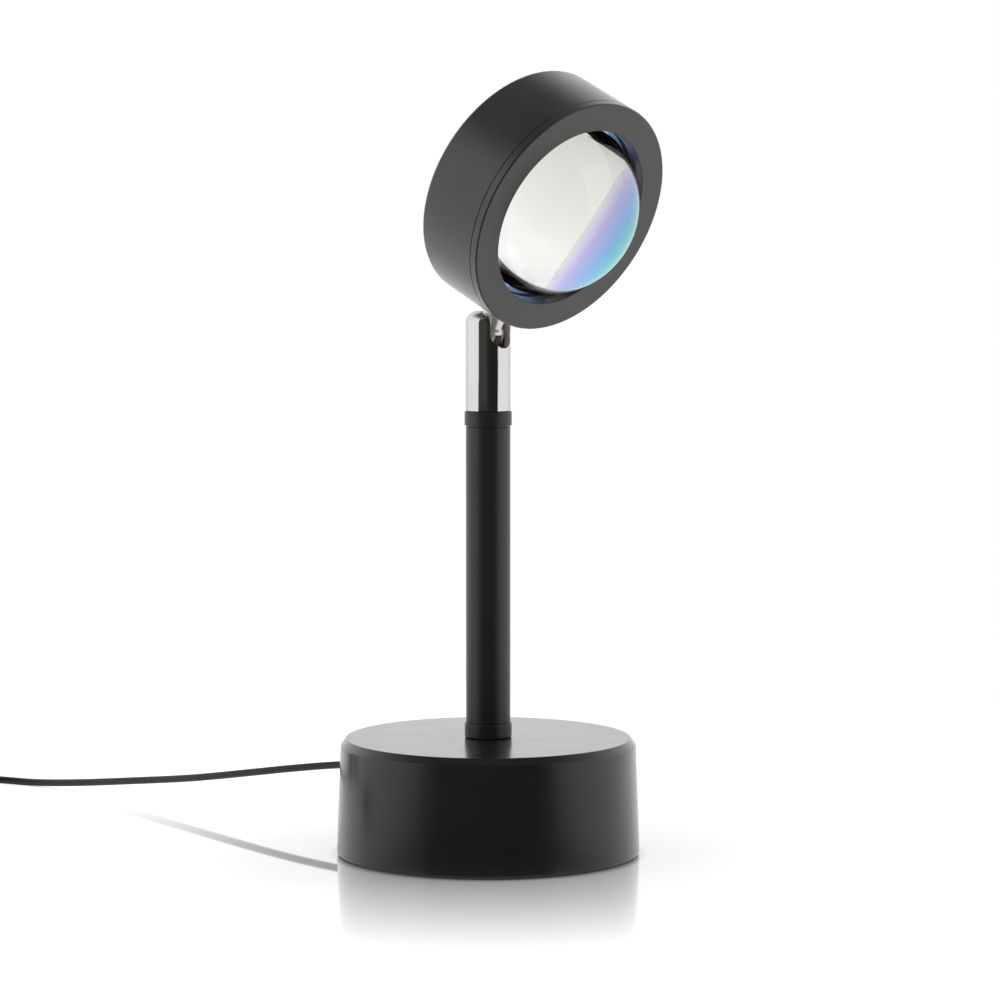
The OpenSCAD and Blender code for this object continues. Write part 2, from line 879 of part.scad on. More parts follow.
module pole_lead() {
    bend = [
        for (a = [90 : -bend_step : 0])
            [0, lead_bend - lead_bend * cos(a), lead_low + lead_bend - lead_bend * sin(a)]
    ];
    route = concat(
        [[0, lead_start_y, exit_z], [0, lead_start_y - 2 * tie_t, exit_z]],
        [[0, (lead_start_y + lead_bend) / 2, (exit_z + lead_low) / 2], [0, 1.5 * lead_bend, lead_low]],
        bend,
        [[0, 0, pivot_z - pivot_clear]]
    );
    color(sleeve_grey) tube(route, core_d, tube_sides, [1, 0, 0]);
}

module head_lead() {
    face_y = board_s - neck_setback - head_depth / 2 - core_d / 2 - face_gap;
    edge_z = neck_reach + head_r - board_d / 2;
    route = [
        [0, 0, pivot_clear], [0, 0, stud_top], [0, face_y / 2, stud_top + core_d],
        [0, face_y, stud_top + 2 * core_d], [0, face_y, edge_z + core_d]
    ];
    color(sleeve_grey) posed() tube(route, core_d, tube_sides, [1, 0, 0]);
}

// ---- Free lead ----

// Turns spiral in and out at a steady rate and climb a layer in the half turn
// where the spiral reverses
function coil_radius(t) =
    let (phase = t % (2 * layer_turns))
    coil_out - coil_step * (phase < layer_turns ? phase : 2 * layer_turns - phase);

function coil_rise(t) =
    let (
        nearest = round(t / layer_turns),
        reversal = nearest > 0 && nearest < coil_layers,
        off = t - nearest * layer_turns
    )
    reversal && abs(off) < 0.25
        ? coil_step * (nearest - 0.5 + 2 * off)
        : coil_step * min(floor(t / layer_turns), coil_layers - 1);

coil_turns = coil_layers * layer_turns;
coil_centre = [coil_x, coil_y, lead_z];
coil_turns_path = [
    for (i = [0 : coil_turns * coil_rings])
        let (t = i / coil_rings, a = coil_angle + 360 * t)
        coil_centre + [coil_radius(t) * cos(a), coil_radius(t) * sin(a), coil_rise(t)]
];
coil_way = [-sin(coil_angle), cos(coil_angle), 0];
coil_start = coil_turns_path[0] - lead_d * coil_way;
coil_end = last(coil_turns_path) + lead_d * coil_way;
coil_path = concat([coil_start], coil_turns_path, [coil_end]);

// Least distance between stretches of the coil that lie half a turn or more apart
coil_gap = min([
    for (i = [0 : 2 : len(coil_path) - 1], j = [i + coil_rings / 2 : len(coil_path) - 1])
        norm(coil_path[i] - coil_path[j])
]) - lead_d;
echo(coil_least_gap = coil_gap);  // usb_lead_coil

module usb_lead_run() {
    route = concat(
        [[0, relief_tip, exit_z], [0, relief_tip + lead_d, exit_z]],
        run_route,
        [coil_start - lead_d * coil_way, coil_start]
    );
    color(soft_black) tube(curve(route, route_steps), lead_d, tube_sides);
}

module usb_lead_coil() {
    color(soft_black) tube(coil_path, lead_d, coil_sides);
}

// Last three points of a lead that runs in along Y to end; it comes from side, 1 or -1
function straight(end, side) = [for (i = [2 : -1 : 0]) end + [0, side * i * lead_d, 0]];

module usb_lead_tail() {
    top_y = switch_y + switch_len / 2;
    route = concat(
        [coil_end, coil_end + lead_d * coil_way],
        tail_route,
        straight([switch_x, top_y, case_split], 1)
    );
    color(soft_black) tube(curve(route, route_steps), lead_d, tube_sides);
}

module usb_lead_end() {
    low_y = switch_y - switch_len / 2;
    route = concat(
        [for (i = [2 : -1 : 0]) straight([switch_x, low_y, case_split], -1)[i]],
        end_route,
        straight([plug_x, plug_y, plug_z], 1)
    );
    color(soft_black) tube(curve(route, route_steps), lead_d, tube_sides);
}

// ---- Hand switch ----

// Upright outline with rounded upper corners, wider than the block it trims by a hair
module crown(w, h, r) {
    wide = w + 2 * press_gap;
    translate([-wide / 2, -cut]) square([wide, h - r + cut]);
    translate([-wide / 2 + r, -cut]) square([wide - 2 * r, h + cut]);
    for (side = [-1, 1]) translate([side * (wide / 2 - r), h - r]) circle(r);
}

// Long round-ended block along Y with its upper edges rounded, from z = 0 up
module pill(len, w, h, r) {
    intersection() {
        linear_extrude(h) {
            square([w, len - w], center = true);
            for (side = [-1, 1]) translate([0, side * (len - w) / 2]) circle(d = w);
        }
        rotate([90, 0, 0]) translate([0, 0, -len]) linear_extrude(2 * len) crown(w, h, r);
        rotate([90, 0, 90]) translate([0, 0, -w]) linear_extrude(2 * w) crown(len, h, r);
    }
}

module at_switch() {
    translate([switch_x, switch_y, 0]) children();
}

module switch_pocket(grow) {
    translate([-block_w / 2 - grow, -block_l / 2 - grow, case_split - block_h / 2 - grow])
        cube([block_w + 2 * grow, block_l + 2 * grow, block_h + 2 * grow]);
}

module at_case_screws(z) {
    for (side = [-1, 1]) translate([0, side * case_screw_y, z]) children();
}

module switch_case_bottom() {
    color(soft_black) at_switch() difference() {
        translate([0, 0, case_split]) mirror([0, 0, 1])
            pill(switch_len, switch_w, case_split, case_round);
        switch_pocket(slide_gap);
        at_case_screws(-cut) {
            cylinder(d = case_screw_d + slack, h = switch_h);
            cylinder(d = case_screw_head_d + slack, h = cut + case_screw_seat_z);
        }
    }
}

module switch_case_top() {
    color(soft_black) at_switch() difference() {
        translate([0, 0, case_split])
            pill(switch_len, switch_w, switch_h - case_split, case_round);
        switch_pocket(slide_gap);
        cylinder(d = button_d + 2 * button_gap, h = switch_h + cut);
        // room in which the button's collar moves and is held
        cylinder(d = button_d + 2 * button_collar + 2 * button_gap, h = button_collar_top + face_gap);
        at_case_screws(case_split - cut)
            cylinder(d = case_screw_d + 2 * press_gap, h = cut + case_screw_bite + weld);
    }
}

module switch_block() {
    color(block_cream) at_switch() switch_pocket(0);
}

module switch_screws() {
    color(zinc) at_switch() at_case_screws(case_screw_head_z) {
        cylinder(d = case_screw_head_d, h = case_screw_seat_z - case_screw_head_z);
        cylinder(d = case_screw_d, h = case_split + case_screw_bite - case_screw_head_z);
    }
}

module switch_button() {
    color(charcoal) at_switch() translate([0, 0, button_z]) {
        rounded_ring(button_d / 2, switch_h + button_proud - button_z, 0, 0, button_round);
        cylinder(d = button_d + 2 * button_collar, h = button_collar_t);
    }
}

// ---- Plug ----

module at_plug() {
    translate([plug_x, plug_y, plug_z]) rotate([90, 0, 0]) children();
}

module plug_grip() {
    color(soft_black) at_plug() {
        cylinder(d1 = boot_tip_d, d2 = boot_root_d, h = grip_boot);
        translate([0, 0, grip_boot]) difference() {
            linear_extrude(grip_len) rounded_rect(grip_w, grip_h, grip_round);
            translate([0, 0, grip_len - shell_root]) linear_extrude(shell_root + cut)
                square([shell_w + 2 * press_gap, shell_h + 2 * press_gap], center = true);
        }
    }
}

module plug_shell() {
    color(chrome) at_plug() translate([0, 0, shell_start]) difference() {
        linear_extrude(shell_len) square([shell_w, shell_h], center = true);
        translate([0, 0, shell_floor]) linear_extrude(shell_len)
            square([shell_w - 2 * shell_wall, shell_h - 2 * shell_wall], center = true);
        // the two square windows in each broad side
        for (x = [-1, 1])
            translate([x * shell_w / 4 - window_w / 2, -shell_h, shell_len - window_far])
                cube([window_w, 2 * shell_h, window_h]);
    }
}

module plug_tongue() {
    color(tongue_white) at_plug()
        translate([-tongue_w / 2, tongue_low, shell_start + shell_floor])
            cube([tongue_w, tongue_h, tongue_len]);
}

module plug_contacts() {
    color(brass) at_plug() for (i = [0 : contact_count - 1])
        translate([
            (i - (contact_count - 1) / 2) * contact_step - contact_w / 2,
            tongue_low + tongue_h, shell_start + contact_start
        ]) cube([contact_w, contact_t, contact_len]);
}

base_housing();
bottom_plate();
ballast_disc();
foot_pad();
plate_screws();
strain_relief();
cable_tie();
stem_washer();
stem_nut();
threaded_tube();
lower_collar();
pole_tube();
upper_collar();
swivel_bolt();
knuckle_socket();
swivel_bush();
swivel_washer();
seat_spring();
friction_seat();
ball_neck();
saddle_washer();
neck_washer();
neck_nut();
head_housing();
front_bezel();
lens();
colour_filter();
retaining_ring();
heat_sink();
heat_sink_screws();
light_board();
board_screws();
light_emitter();
light_hood();
pole_lead();
head_lead();
usb_lead_run();
usb_lead_coil();
usb_lead_tail();
usb_lead_end();
switch_case_bottom();
switch_case_top();
switch_block();
switch_screws();
switch_button();
plug_grip();
plug_shell();
plug_tongue();
plug_contacts();
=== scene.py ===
"""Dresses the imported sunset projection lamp: its turned shells, chrome knuckle, domed
lens over a colour filter, and the free USB lead with its hand switch and plug."""

import math

import bmesh
import bpy
import numpy as np
from bpy.props import FloatProperty, FloatVectorProperty, IntProperty, PointerProperty
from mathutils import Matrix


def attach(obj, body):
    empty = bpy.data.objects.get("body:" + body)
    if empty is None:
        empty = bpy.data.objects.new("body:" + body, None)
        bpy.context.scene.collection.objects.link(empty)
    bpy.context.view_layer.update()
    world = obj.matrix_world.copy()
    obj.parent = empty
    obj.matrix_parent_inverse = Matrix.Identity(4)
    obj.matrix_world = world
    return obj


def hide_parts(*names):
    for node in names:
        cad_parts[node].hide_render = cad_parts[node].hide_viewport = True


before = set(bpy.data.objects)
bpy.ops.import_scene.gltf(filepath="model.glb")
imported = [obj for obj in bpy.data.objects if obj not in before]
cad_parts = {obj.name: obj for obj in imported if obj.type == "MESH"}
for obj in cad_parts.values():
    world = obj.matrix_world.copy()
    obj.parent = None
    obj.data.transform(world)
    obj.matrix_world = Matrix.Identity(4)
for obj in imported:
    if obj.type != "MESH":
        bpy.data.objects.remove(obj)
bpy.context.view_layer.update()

bl_info = {
    "name": "Sunset Projection Lamp",
    "version": (1, 0, 0),
    "blender": (4, 5, 0),
    "location": "3D View > Sidebar > Lamp",
    "description": "Builds the visible surfaces, finishes and studio of a sunset projection lamp",
    "category": "Object",
}

MM = 0.001

# Base, as the solids lie, in millimetres
BASE_FOOT = 0.6
BASE_TOP = 38.6
BASE_LEAN = 1.3
BASE_WALL = 2.6
BASE_CEILING = 35.6
CEILING_R = 46.1
CHAMFER_W = 1.8
CHAMFER_H = 2.4
BOSS_R = 10
BOSS_FOOT = 31.6
STEM_BORE_R = 4.92

# Pole and collars, with the groove at each collar's lip
STEM_TOP = 146.3
POLE_R = 7.3
POLE_BORE_R = 6
GROOVE_R = 7.12
GROOVE_H = 0.4
GROOVE_TUCK = 0.1
COLLAR_R = 7.75
COLLAR_H = 4.8
COLLAR_FLOOR = 1.6
COLLAR_BORE_R = 7.32
COLLAR_LIP_R = 7.36
COLLAR_LIP = 0.3

# Head, turned and tilted by degrees about the ball's centre. Depths run back from its face.
PIVOT_Z = 171.6
HEAD_TURN = 17.4
HEAD_TILT = 25.2
NECK_SETBACK = 4.2
NECK_REACH = 10.3
DRUM_R = 39.65
DRUM_DEPTH = 26.9
CUP_R = 37.25
CUP_FLOOR = 24.7
SEAM_FRONT = 2.9
SEAM_BACK = 3.05
SPIGOT_R = 37.21
SPIGOT_END = 10.9
OPENING_R = 30.4
LENS_SEAT_R = 33.02
LENS_RIM_R = 33
LENS_RIM_FRONT = 5
LENS_RIM_BACK = 7.6

# Fillets on turned and moulded edges
BASE_ROUND = 0.5
BASE_FOOT_ROUND = 0.7
BASE_INNER_ROUND = 1
COLLAR_ROUND = 0.6
COLLAR_LIP_ROUND = 0.35
GROOVE_ROUND = 0.1
DRUM_BACK_ROUND = 1.2
CUP_FLOOR_ROUND = 0.5
RING_ROUND = 0.55
OPENING_ROUND = 0.25
LENS_RIM_ROUND = 0.3

# The free lead's route, as the solids lie
RELIEF_TIP = 62.7
LEAD_D = 2.6
RUN_ROUTE = [
    [-4, 74, 19.4], [-13, 87, 18.3], [-24, 101, 16], [-34, 115, 13.3], [-47, 136, 9.4],
    [-59, 159, 6.1], [-72, 182, 3.1], [-82, 199, 1.5], [-90, 211, 1.3],
]
TAIL_ROUTE = [[-113, 243, 8.5], [-126, 251, 5.2], [-140, 251, 3.4], [-151, 244, 4.2]]
END_ROUTE = [[-158, 170, 3.2], [-164, 157, 1.7], [-164, 143, 1.5], [-158, 131, 2.6]]
EXIT_Z = 19.8
COIL_CENTRE = [-117, 215, 1.3]
COIL_ANGLE = 30
COIL_OUT = 19.65
COIL_STEP = 3.1
COIL_LAYERS = 4
LAYER_TURNS = 3
SWITCH_TOP = [-155, 230, 5.5]
SWITCH_LOW = [-155, 182, 5.5]
PLUG_END = [-156, 117, 4]

# How finely the surfaces are cut. Coil steps are those of one turn, and route steps those
# between two points.
FILLET_STEPS = 7
DOME_STEPS = 96
COIL_STEPS = 48
ROUTE_STEPS = 4
FLOOR_STEPS = 64
FLAG_STEPS = 32

# Edges sharper than this, in degrees, stay sharp: on new surfaces and on copies of nodes,
# whose points are merged where they lie this many millimetres apart
CREASE = 35
COPY_CREASE = 30
MERGE_DISTANCE = 0.002

# The part of a noise's range over which a colour or a roughness goes from low to high
NOISE_SPAN = (0.25, 0.75)

# What reflections and glass see of the studio. Heights are those of a direction one unit long,
# from 0 at the horizon to 1 straight up. A fade's span is where it starts and ends.
WALL_SLANT = 0.6
WALL_SPAN = (0.05, 0.7)
WALL_LEVELS = (1.05, 0.1)
SIDE_SPAN = (0.25, 0.75)
SIDE_LEVELS = (0.1, 1.0)
SIDE_TOP_SPAN = (0.48, 0.9)
SIDE_TOP_LEVELS = (1.0, 0.15)
GLASS_SPAN = (0.33, 0.42)
GLASS_LEVELS = (1.0, 0.09)

# The floor: its radius in millimetres, and spans in metres from the pole. The low view's span
# is one of glancing share, 0 to 1, the front's edge is a cosine, and the cream's span is one of
# distance / (distance + halfway).
FLOOR_R = 4000
# The contact span and glow paint the floor's shadow at the base: the glow stays low under the base and
# rises across a thin ring round its foot.
CONTACT_SHADOW_SPAN = (0.0495, 0.053)
CONTACT_SHADOW_GLOW = (0.1, 0.54)
GLOW_IN_GLOSS = 0.25
MIRROR_SPAN = (0.02, 0.235)
MIRROR_SHARES = (0.76, 0)
MIRROR_ROUGHNESS = 0.03
LOW_VIEW_SPAN = (0.3, 0.72)
PLAIN_SPAN = (0.18, 0.45)
FRONT_EDGE = 0.61
FRONT_BLUR_SPAN = (0.2, 1.2)
FRONT_BLURS = (0.28, 0.05)
FRONT_START_SPAN = (0.05, 0.09)
FRONT_LEVEL = 0.02
CREAM = (1.0, 0.99, 0.94)
CREAM_HALFWAY = 0.5
CREAM_SPAN = (0.1, 0.62)
CREAM_LEVELS = (0.64, 1.0)

# Lamps (name, place, size, power) and the dark flag round the camera, in metres
SOFT_BOXES = (
    ("box_left", (-1.5, 0.1, 0.7), 0.9, 5),
    ("box_right", (1.3, -0.4, 0.8), 0.9, 7),
    ("box_top", (0.1, 0.1, 1.6), 1.1, 9),
)
BOX_AIM = (0, 0, 0.12)
FLAG_R = 2.6
FLAG_HEIGHT = 3.0
FLAG_HALF_ANGLE = 50
FLAG_REACH = 2
FLAG_TONES = [
    (0.0, (0.062, 0.058, 0.052)), (0.35, (0.06, 0.056, 0.052)), (0.48, (0.03, 0.028, 0.027)),
    (0.5, (0.04, 0.038, 0.037)), (0.52, (0.022, 0.021, 0.021)), (1.0, (0.016, 0.016, 0.016)),
]

# The filter's colours, from seen square on to a glancing view
FILTER_TONES = [
    (0.0, (0.09, 0.72, 0.48)), (0.16, (0.07, 0.60, 0.72)), (0.35, (0.20, 0.49, 0.93)),
    (0.6, (0.50, 0.45, 0.95)), (0.8, (0.74, 0.70, 0.98)), (1.0, (0.95, 0.93, 0.99)),
]


# ---------------------------------------------------------------- properties


class LampShape(bpy.types.PropertyGroup):
    """Sizes of the surfaces that this script draws itself"""

    base_radius: FloatProperty(
        name="Base radius", description="Radius of the base at its lower edge",
        default=50 * MM, unit="LENGTH")
    seam_round: FloatProperty(
        name="Seam round", description="Radius of the fine rounds along the drum's seam",
        default=0.15 * MM, unit="LENGTH")
    lens_radius: FloatProperty(
        name="Lens radius", description="Radius of the lens's dome",
        default=29.5 * MM, unit="LENGTH")
    lens_proud: FloatProperty(
        name="Lens height", description="How far the dome stands out of the front ring",
        default=18.1 * MM, unit="LENGTH")
    lens_air: FloatProperty(
        name="Lens air gap", description="Air between the lens's flat back and the colour filter",
        default=0.08 * MM, unit="LENGTH")
    lathe_steps: IntProperty(
        name="Turning steps", description="Faces round a turned surface",
        default=192, min=24)
    lead_sides: IntProperty(
        name="Lead sides", description="Faces round the lead", default=14, min=6)


class LampFinish(bpy.types.PropertyGroup):
    """Colours of the lamp's finishes"""

    base_black: FloatVectorProperty(
        name="Base black", description="Colour of the base", subtype="COLOR",
        size=3, min=0, max=1, default=(0.016, 0.016, 0.017))
    pole_black: FloatVectorProperty(
        name="Pole black", description="Colour of the pole and its collars", subtype="COLOR",
        size=3, min=0, max=1, default=(0.02, 0.0195, 0.0195))
    head_charcoal: FloatVectorProperty(
        name="Head charcoal", description="Colour of the drum", subtype="COLOR",
        size=3, min=0, max=1, default=(0.029, 0.028, 0.026))
    lead_black: FloatVectorProperty(
        name="Lead black", description="Colour of the lead, switch and plug grip",
        subtype="COLOR", size=3, min=0, max=1, default=(0.02, 0.02, 0.022))
    chrome_tint: FloatVectorProperty(
        name="Chrome", description="Colour of the polished knuckle", subtype="COLOR",
        size=3, min=0, max=1, default=(0.72, 0.715, 0.70))


class LampStudio(bpy.types.PropertyGroup):
    """Camera and light"""

    distance: FloatProperty(
        name="Camera distance", description="Level distance from the pole to the camera",
        default=1.2, unit="LENGTH")
    azimuth: FloatProperty(
        name="Camera azimuth", description="Direction of the camera round the pole",
        default=math.radians(-28), subtype="ANGLE")
    height: FloatProperty(
        name="Camera height", description="Height of the camera above the table",
        default=0.2157, unit="LENGTH")
    pitch: FloatProperty(
        name="Camera pitch", description="How far the camera looks down",
        default=math.radians(4.703), subtype="ANGLE")
    yaw: FloatProperty(
        name="Camera yaw", description="How far the camera looks past the pole",
        default=math.radians(0.185), subtype="ANGLE")
    focal: FloatProperty(
        name="Focal length", description="Focal length in millimetres on a 36 mm frame",
        default=132.1)
    ambient: FloatProperty(
        name="Ambient", description="Light from all round on matte surfaces", default=0.37)


# ---------------------------------------------------------------- surfaces


def turned_about(axis, degrees):
    """4 x 4 matrix that turns by degrees about X, Y or Z, given as axis 0, 1 or 2."""
    c, s = math.cos(math.radians(degrees)), math.sin(math.radians(degrees))
    m = np.eye(4)
    a, b = [(1, 2), (2, 0), (0, 1)][axis]
    m[a, a], m[a, b], m[b, a], m[b, b] = c, -s, s, c
    return m


def moved(x, y, z):
    """4 x 4 matrix that shifts by millimetres."""
    m = np.eye(4)
    m[:3, 3] = (x * MM, y * MM, z * MM)
    return m


# Head frame: the ball's centre at the origin, upright. Drum frame: +Z back along the
# drum's axis from its front face.
HEAD = moved(0, 0, PIVOT_Z) @ turned_about(2, HEAD_TURN) @ turned_about(0, HEAD_TILT)
DRUM = HEAD @ moved(0, -NECK_SETBACK - DRUM_DEPTH / 2, NECK_REACH + DRUM_R) @ turned_about(0, -90)


def fillet(last, here, following, radius, hold):
    """Arc in place of a corner: it leaves both sides radius / tan(half the corner's angle)
    away, and point t is sin((1 - t) sweep) first + sin(t sweep) final over sin(sweep), taken
    from its centre. A further point hold beyond each end keeps the flat side's shading flat."""
    to_last = (last - here) / np.linalg.norm(last - here)
    to_next = (following - here) / np.linalg.norm(following - here)
    half = math.acos(np.clip(to_last @ to_next, -1, 1)) / 2
    middle = to_last + to_next
    centre = here + middle / np.linalg.norm(middle) * radius / math.sin(half)
    leave = radius / math.tan(half)
    first = here + to_last * leave - centre
    final = here + to_next * leave - centre
    sweep = math.pi - 2 * half
    t = np.linspace(0, 1, FILLET_STEPS + 1)[:, None]
    arc = np.sin((1 - t) * sweep) * first + np.sin(t * sweep) * final
    before = here + to_last * (leave + hold)
    after = here + to_next * (leave + hold)
    return np.vstack([before, centre + arc / math.sin(sweep), after])


def filleted(corners, hold=0.12):
    """Outline from corners (radius, height, fillet), with an arc at each corner whose fillet is
    more than 0. Its first and last corner stay sharp."""
    corners = np.array(corners, float)
    out = [corners[:1, :2]]
    for last, (r, z, radius), following in zip(corners, corners[1:], corners[2:]):
        here = np.array([r, z])
        out.append(fillet(last[:2], here, following[:2], radius, hold) if radius > 0 else here[None])
    return np.vstack([*out, corners[-1:, :2]])


def revolve(profile, steps, closed=False):
    """Surface of revolution about +Z: point (i, j) is (r_i cos a_j, r_i sin a_j, z_i) with a_j
    going once round. A profile point on the axis is one shared pole; a closed profile's last
    point joins its first. Profile in millimetres."""
    profile = np.asarray(profile, float) * MM
    angle = np.linspace(0, 2 * math.pi, steps, endpoint=False)
    ring = np.stack([np.cos(angle), np.sin(angle)], 1)
    on_axis = profile[:, 0] < 1e-9
    starts = np.concatenate([[0], np.cumsum(np.where(on_axis, 1, steps))])
    verts = np.concatenate([
        np.array([[0, 0, z]]) if pole else np.column_stack([ring * r, np.full(steps, z)])
        for (r, z), pole in zip(profile, on_axis)
    ])
    j = np.arange(steps)
    k = (j + 1) % steps
    count = len(profile)
    faces = []
    for a in range(count if closed else count - 1):
        b = (a + 1) % count
        sa, sb = starts[a], starts[b]
        if on_axis[a]:
            faces += np.column_stack([np.full(steps, sa), sb + k, sb + j]).tolist()
        elif on_axis[b]:
            faces += np.column_stack([sa + j, sa + k, np.full(steps, sb)]).tolist()
        else:
            faces += np.column_stack([sa + j, sa + k, sb + k, sb + j]).tolist()
    return verts, faces


def tube(path, radius, sides):
    """Round tube along a path that never runs upright: ring i is the circle of the radius about
    path point i, square to the chord between its neighbours. A fan closes each end."""
    path = np.asarray(path, float)
    ahead = np.vstack([path[1:], path[-1:]])
    behind = np.vstack([path[:1], path[:-1]])
    along = ahead - behind
    along /= np.linalg.norm(along, axis=1)[:, None]
    across = np.cross([0, 0, 1], along)
    across /= np.linalg.norm(across, axis=1)[:, None]
    up = np.cross(along, across)
    angle = np.linspace(0, 2 * math.pi, sides, endpoint=False)[:, None]
    circle = np.cos(angle) * across[:, None] + np.sin(angle) * up[:, None]
    verts = (path[:, None] + radius * circle).reshape(-1, 3)
    count = len(path)
    j = np.arange(sides)
    k = (j + 1) % sides
    ring = np.repeat(np.arange(count - 1) * sides, sides)
    here, beside = ring + np.tile(j, count - 1), ring + np.tile(k, count - 1)
    faces = np.column_stack([here, beside, beside + sides, here + sides]).tolist()
    verts = np.vstack([verts, path[:1], path[-1:]])
    first_hub, last_hub, last_ring = count * sides, count * sides + 1, (count - 1) * sides
    faces += np.column_stack([np.full(sides, first_hub), k, j]).tolist()
    faces += np.column_stack([np.full(sides, last_hub), last_ring + j, last_ring + k]).tolist()
    return verts, faces


def smooth_route(points):
    """Uniform Catmull-Rom curve through every point, each stretch cut into ROUTE_STEPS; beyond
    each end stands the mirror image of its neighbour."""
    p = np.array(points, float)
    p = np.vstack([2 * p[0] - p[1], p, 2 * p[-1] - p[-2]])
    a, b, c, d = (p[k:len(p) - 3 + k, None] for k in range(4))
    t = (np.arange(ROUTE_STEPS) / ROUTE_STEPS)[None, :, None]
    curve = b + t / 2 * ((c - a) + t * ((2 * a - 5 * b + 4 * c - d) + t * (3 * b - a - 3 * c + d)))
    return np.vstack([curve.reshape(-1, 3), p[-2:-1]])


def coil_route():
    """The coil's turns: the radius falls and rises by one step a turn between the outer and the
    inner turn, and the height climbs one layer in the half turn where that reverses."""
    turns = COIL_LAYERS * LAYER_TURNS
    t = np.linspace(0, turns, turns * COIL_STEPS + 1)
    phase = t % (2 * LAYER_TURNS)
    radius = COIL_OUT - COIL_STEP * np.where(phase < LAYER_TURNS, phase, 2 * LAYER_TURNS - phase)
    nearest = np.round(t / LAYER_TURNS)
    off = t - nearest * LAYER_TURNS
    climbing = (nearest > 0) & (nearest < COIL_LAYERS) & (np.abs(off) < 0.25)
    layer = np.minimum(np.floor(t / LAYER_TURNS), COIL_LAYERS - 1)
    rise = COIL_STEP * np.where(climbing, nearest - 0.5 + 2 * off, layer)
    angle = np.radians(COIL_ANGLE) + 2 * math.pi * t
    around = np.column_stack([radius * np.cos(angle), radius * np.sin(angle), rise])
    return np.array(COIL_CENTRE) + around


# ---------------------------------------------------------------- pieces


def shade_smooth(mesh, crease):
    """Shades a mesh smooth, but for edges sharper than crease degrees."""
    mesh.polygons.foreach_set("use_smooth", np.ones(len(mesh.polygons), bool))
    mesh.set_sharp_from_angle(angle=math.radians(crease))


def piece(name, verts, faces, body, finish, replaces, place=None):
    """A finished mesh with its place in its points, which rides on its body and stands for the
    nodes that it replaces."""
    if place is not None:
        verts = verts @ place[:3, :3].T + place[:3, 3]
    mesh = bpy.data.meshes.new(name)
    mesh.from_pydata(verts.tolist(), [], faces)
    shade_smooth(mesh, CREASE)
    mesh.materials.append(finish)
    mesh.update()
    obj = bpy.data.objects.new(name, mesh)
    bpy.context.scene.collection.objects.link(obj)
    face_outwards(mesh)
    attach(obj, body)
    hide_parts(*replaces)
    return obj


def face_outwards(mesh):
    """Turns a closed mesh's faces outwards where the volume they enclose comes out negative."""
    mesh.calc_loop_triangles()
    count = len(mesh.loop_triangles)
    corners = np.empty(count * 3, np.int32)
    mesh.loop_triangles.foreach_get("vertices", corners)
    co = np.empty(len(mesh.vertices) * 3)
    mesh.vertices.foreach_get("co", co)
    a, b, c = (co.reshape(-1, 3)[corners.reshape(-1, 3)[:, k]] for k in range(3))
    if np.einsum("ij,ij->i", a, np.cross(b, c)).sum() < 0:
        mesh.flip_normals()


def smooth_copy(node, name, body, finish):
    """A copy that stands for a CAD node, with the loose triangles merged, so that its curves
    shade smoothly."""
    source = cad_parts[node]
    work = bmesh.new()
    work.from_mesh(source.data)
    bmesh.ops.remove_doubles(work, verts=work.verts, dist=MERGE_DISTANCE * MM)
    mesh = bpy.data.meshes.new(name)
    work.to_mesh(mesh)
    work.free()
    shade_smooth(mesh, COPY_CREASE)
    mesh.materials.clear()
    mesh.materials.append(finish)
    obj = bpy.data.objects.new(name, mesh)
    bpy.context.scene.collection.objects.link(obj)
    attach(obj, body)
    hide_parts(node)
    return obj


def repaint(finish, *nodes):
    """Gives CAD nodes that are shown as they are their finish."""
    for name in nodes:
        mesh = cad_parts[name].data
        mesh.materials.clear()
        mesh.materials.append(finish)


# ---------------------------------------------------------------- finishes


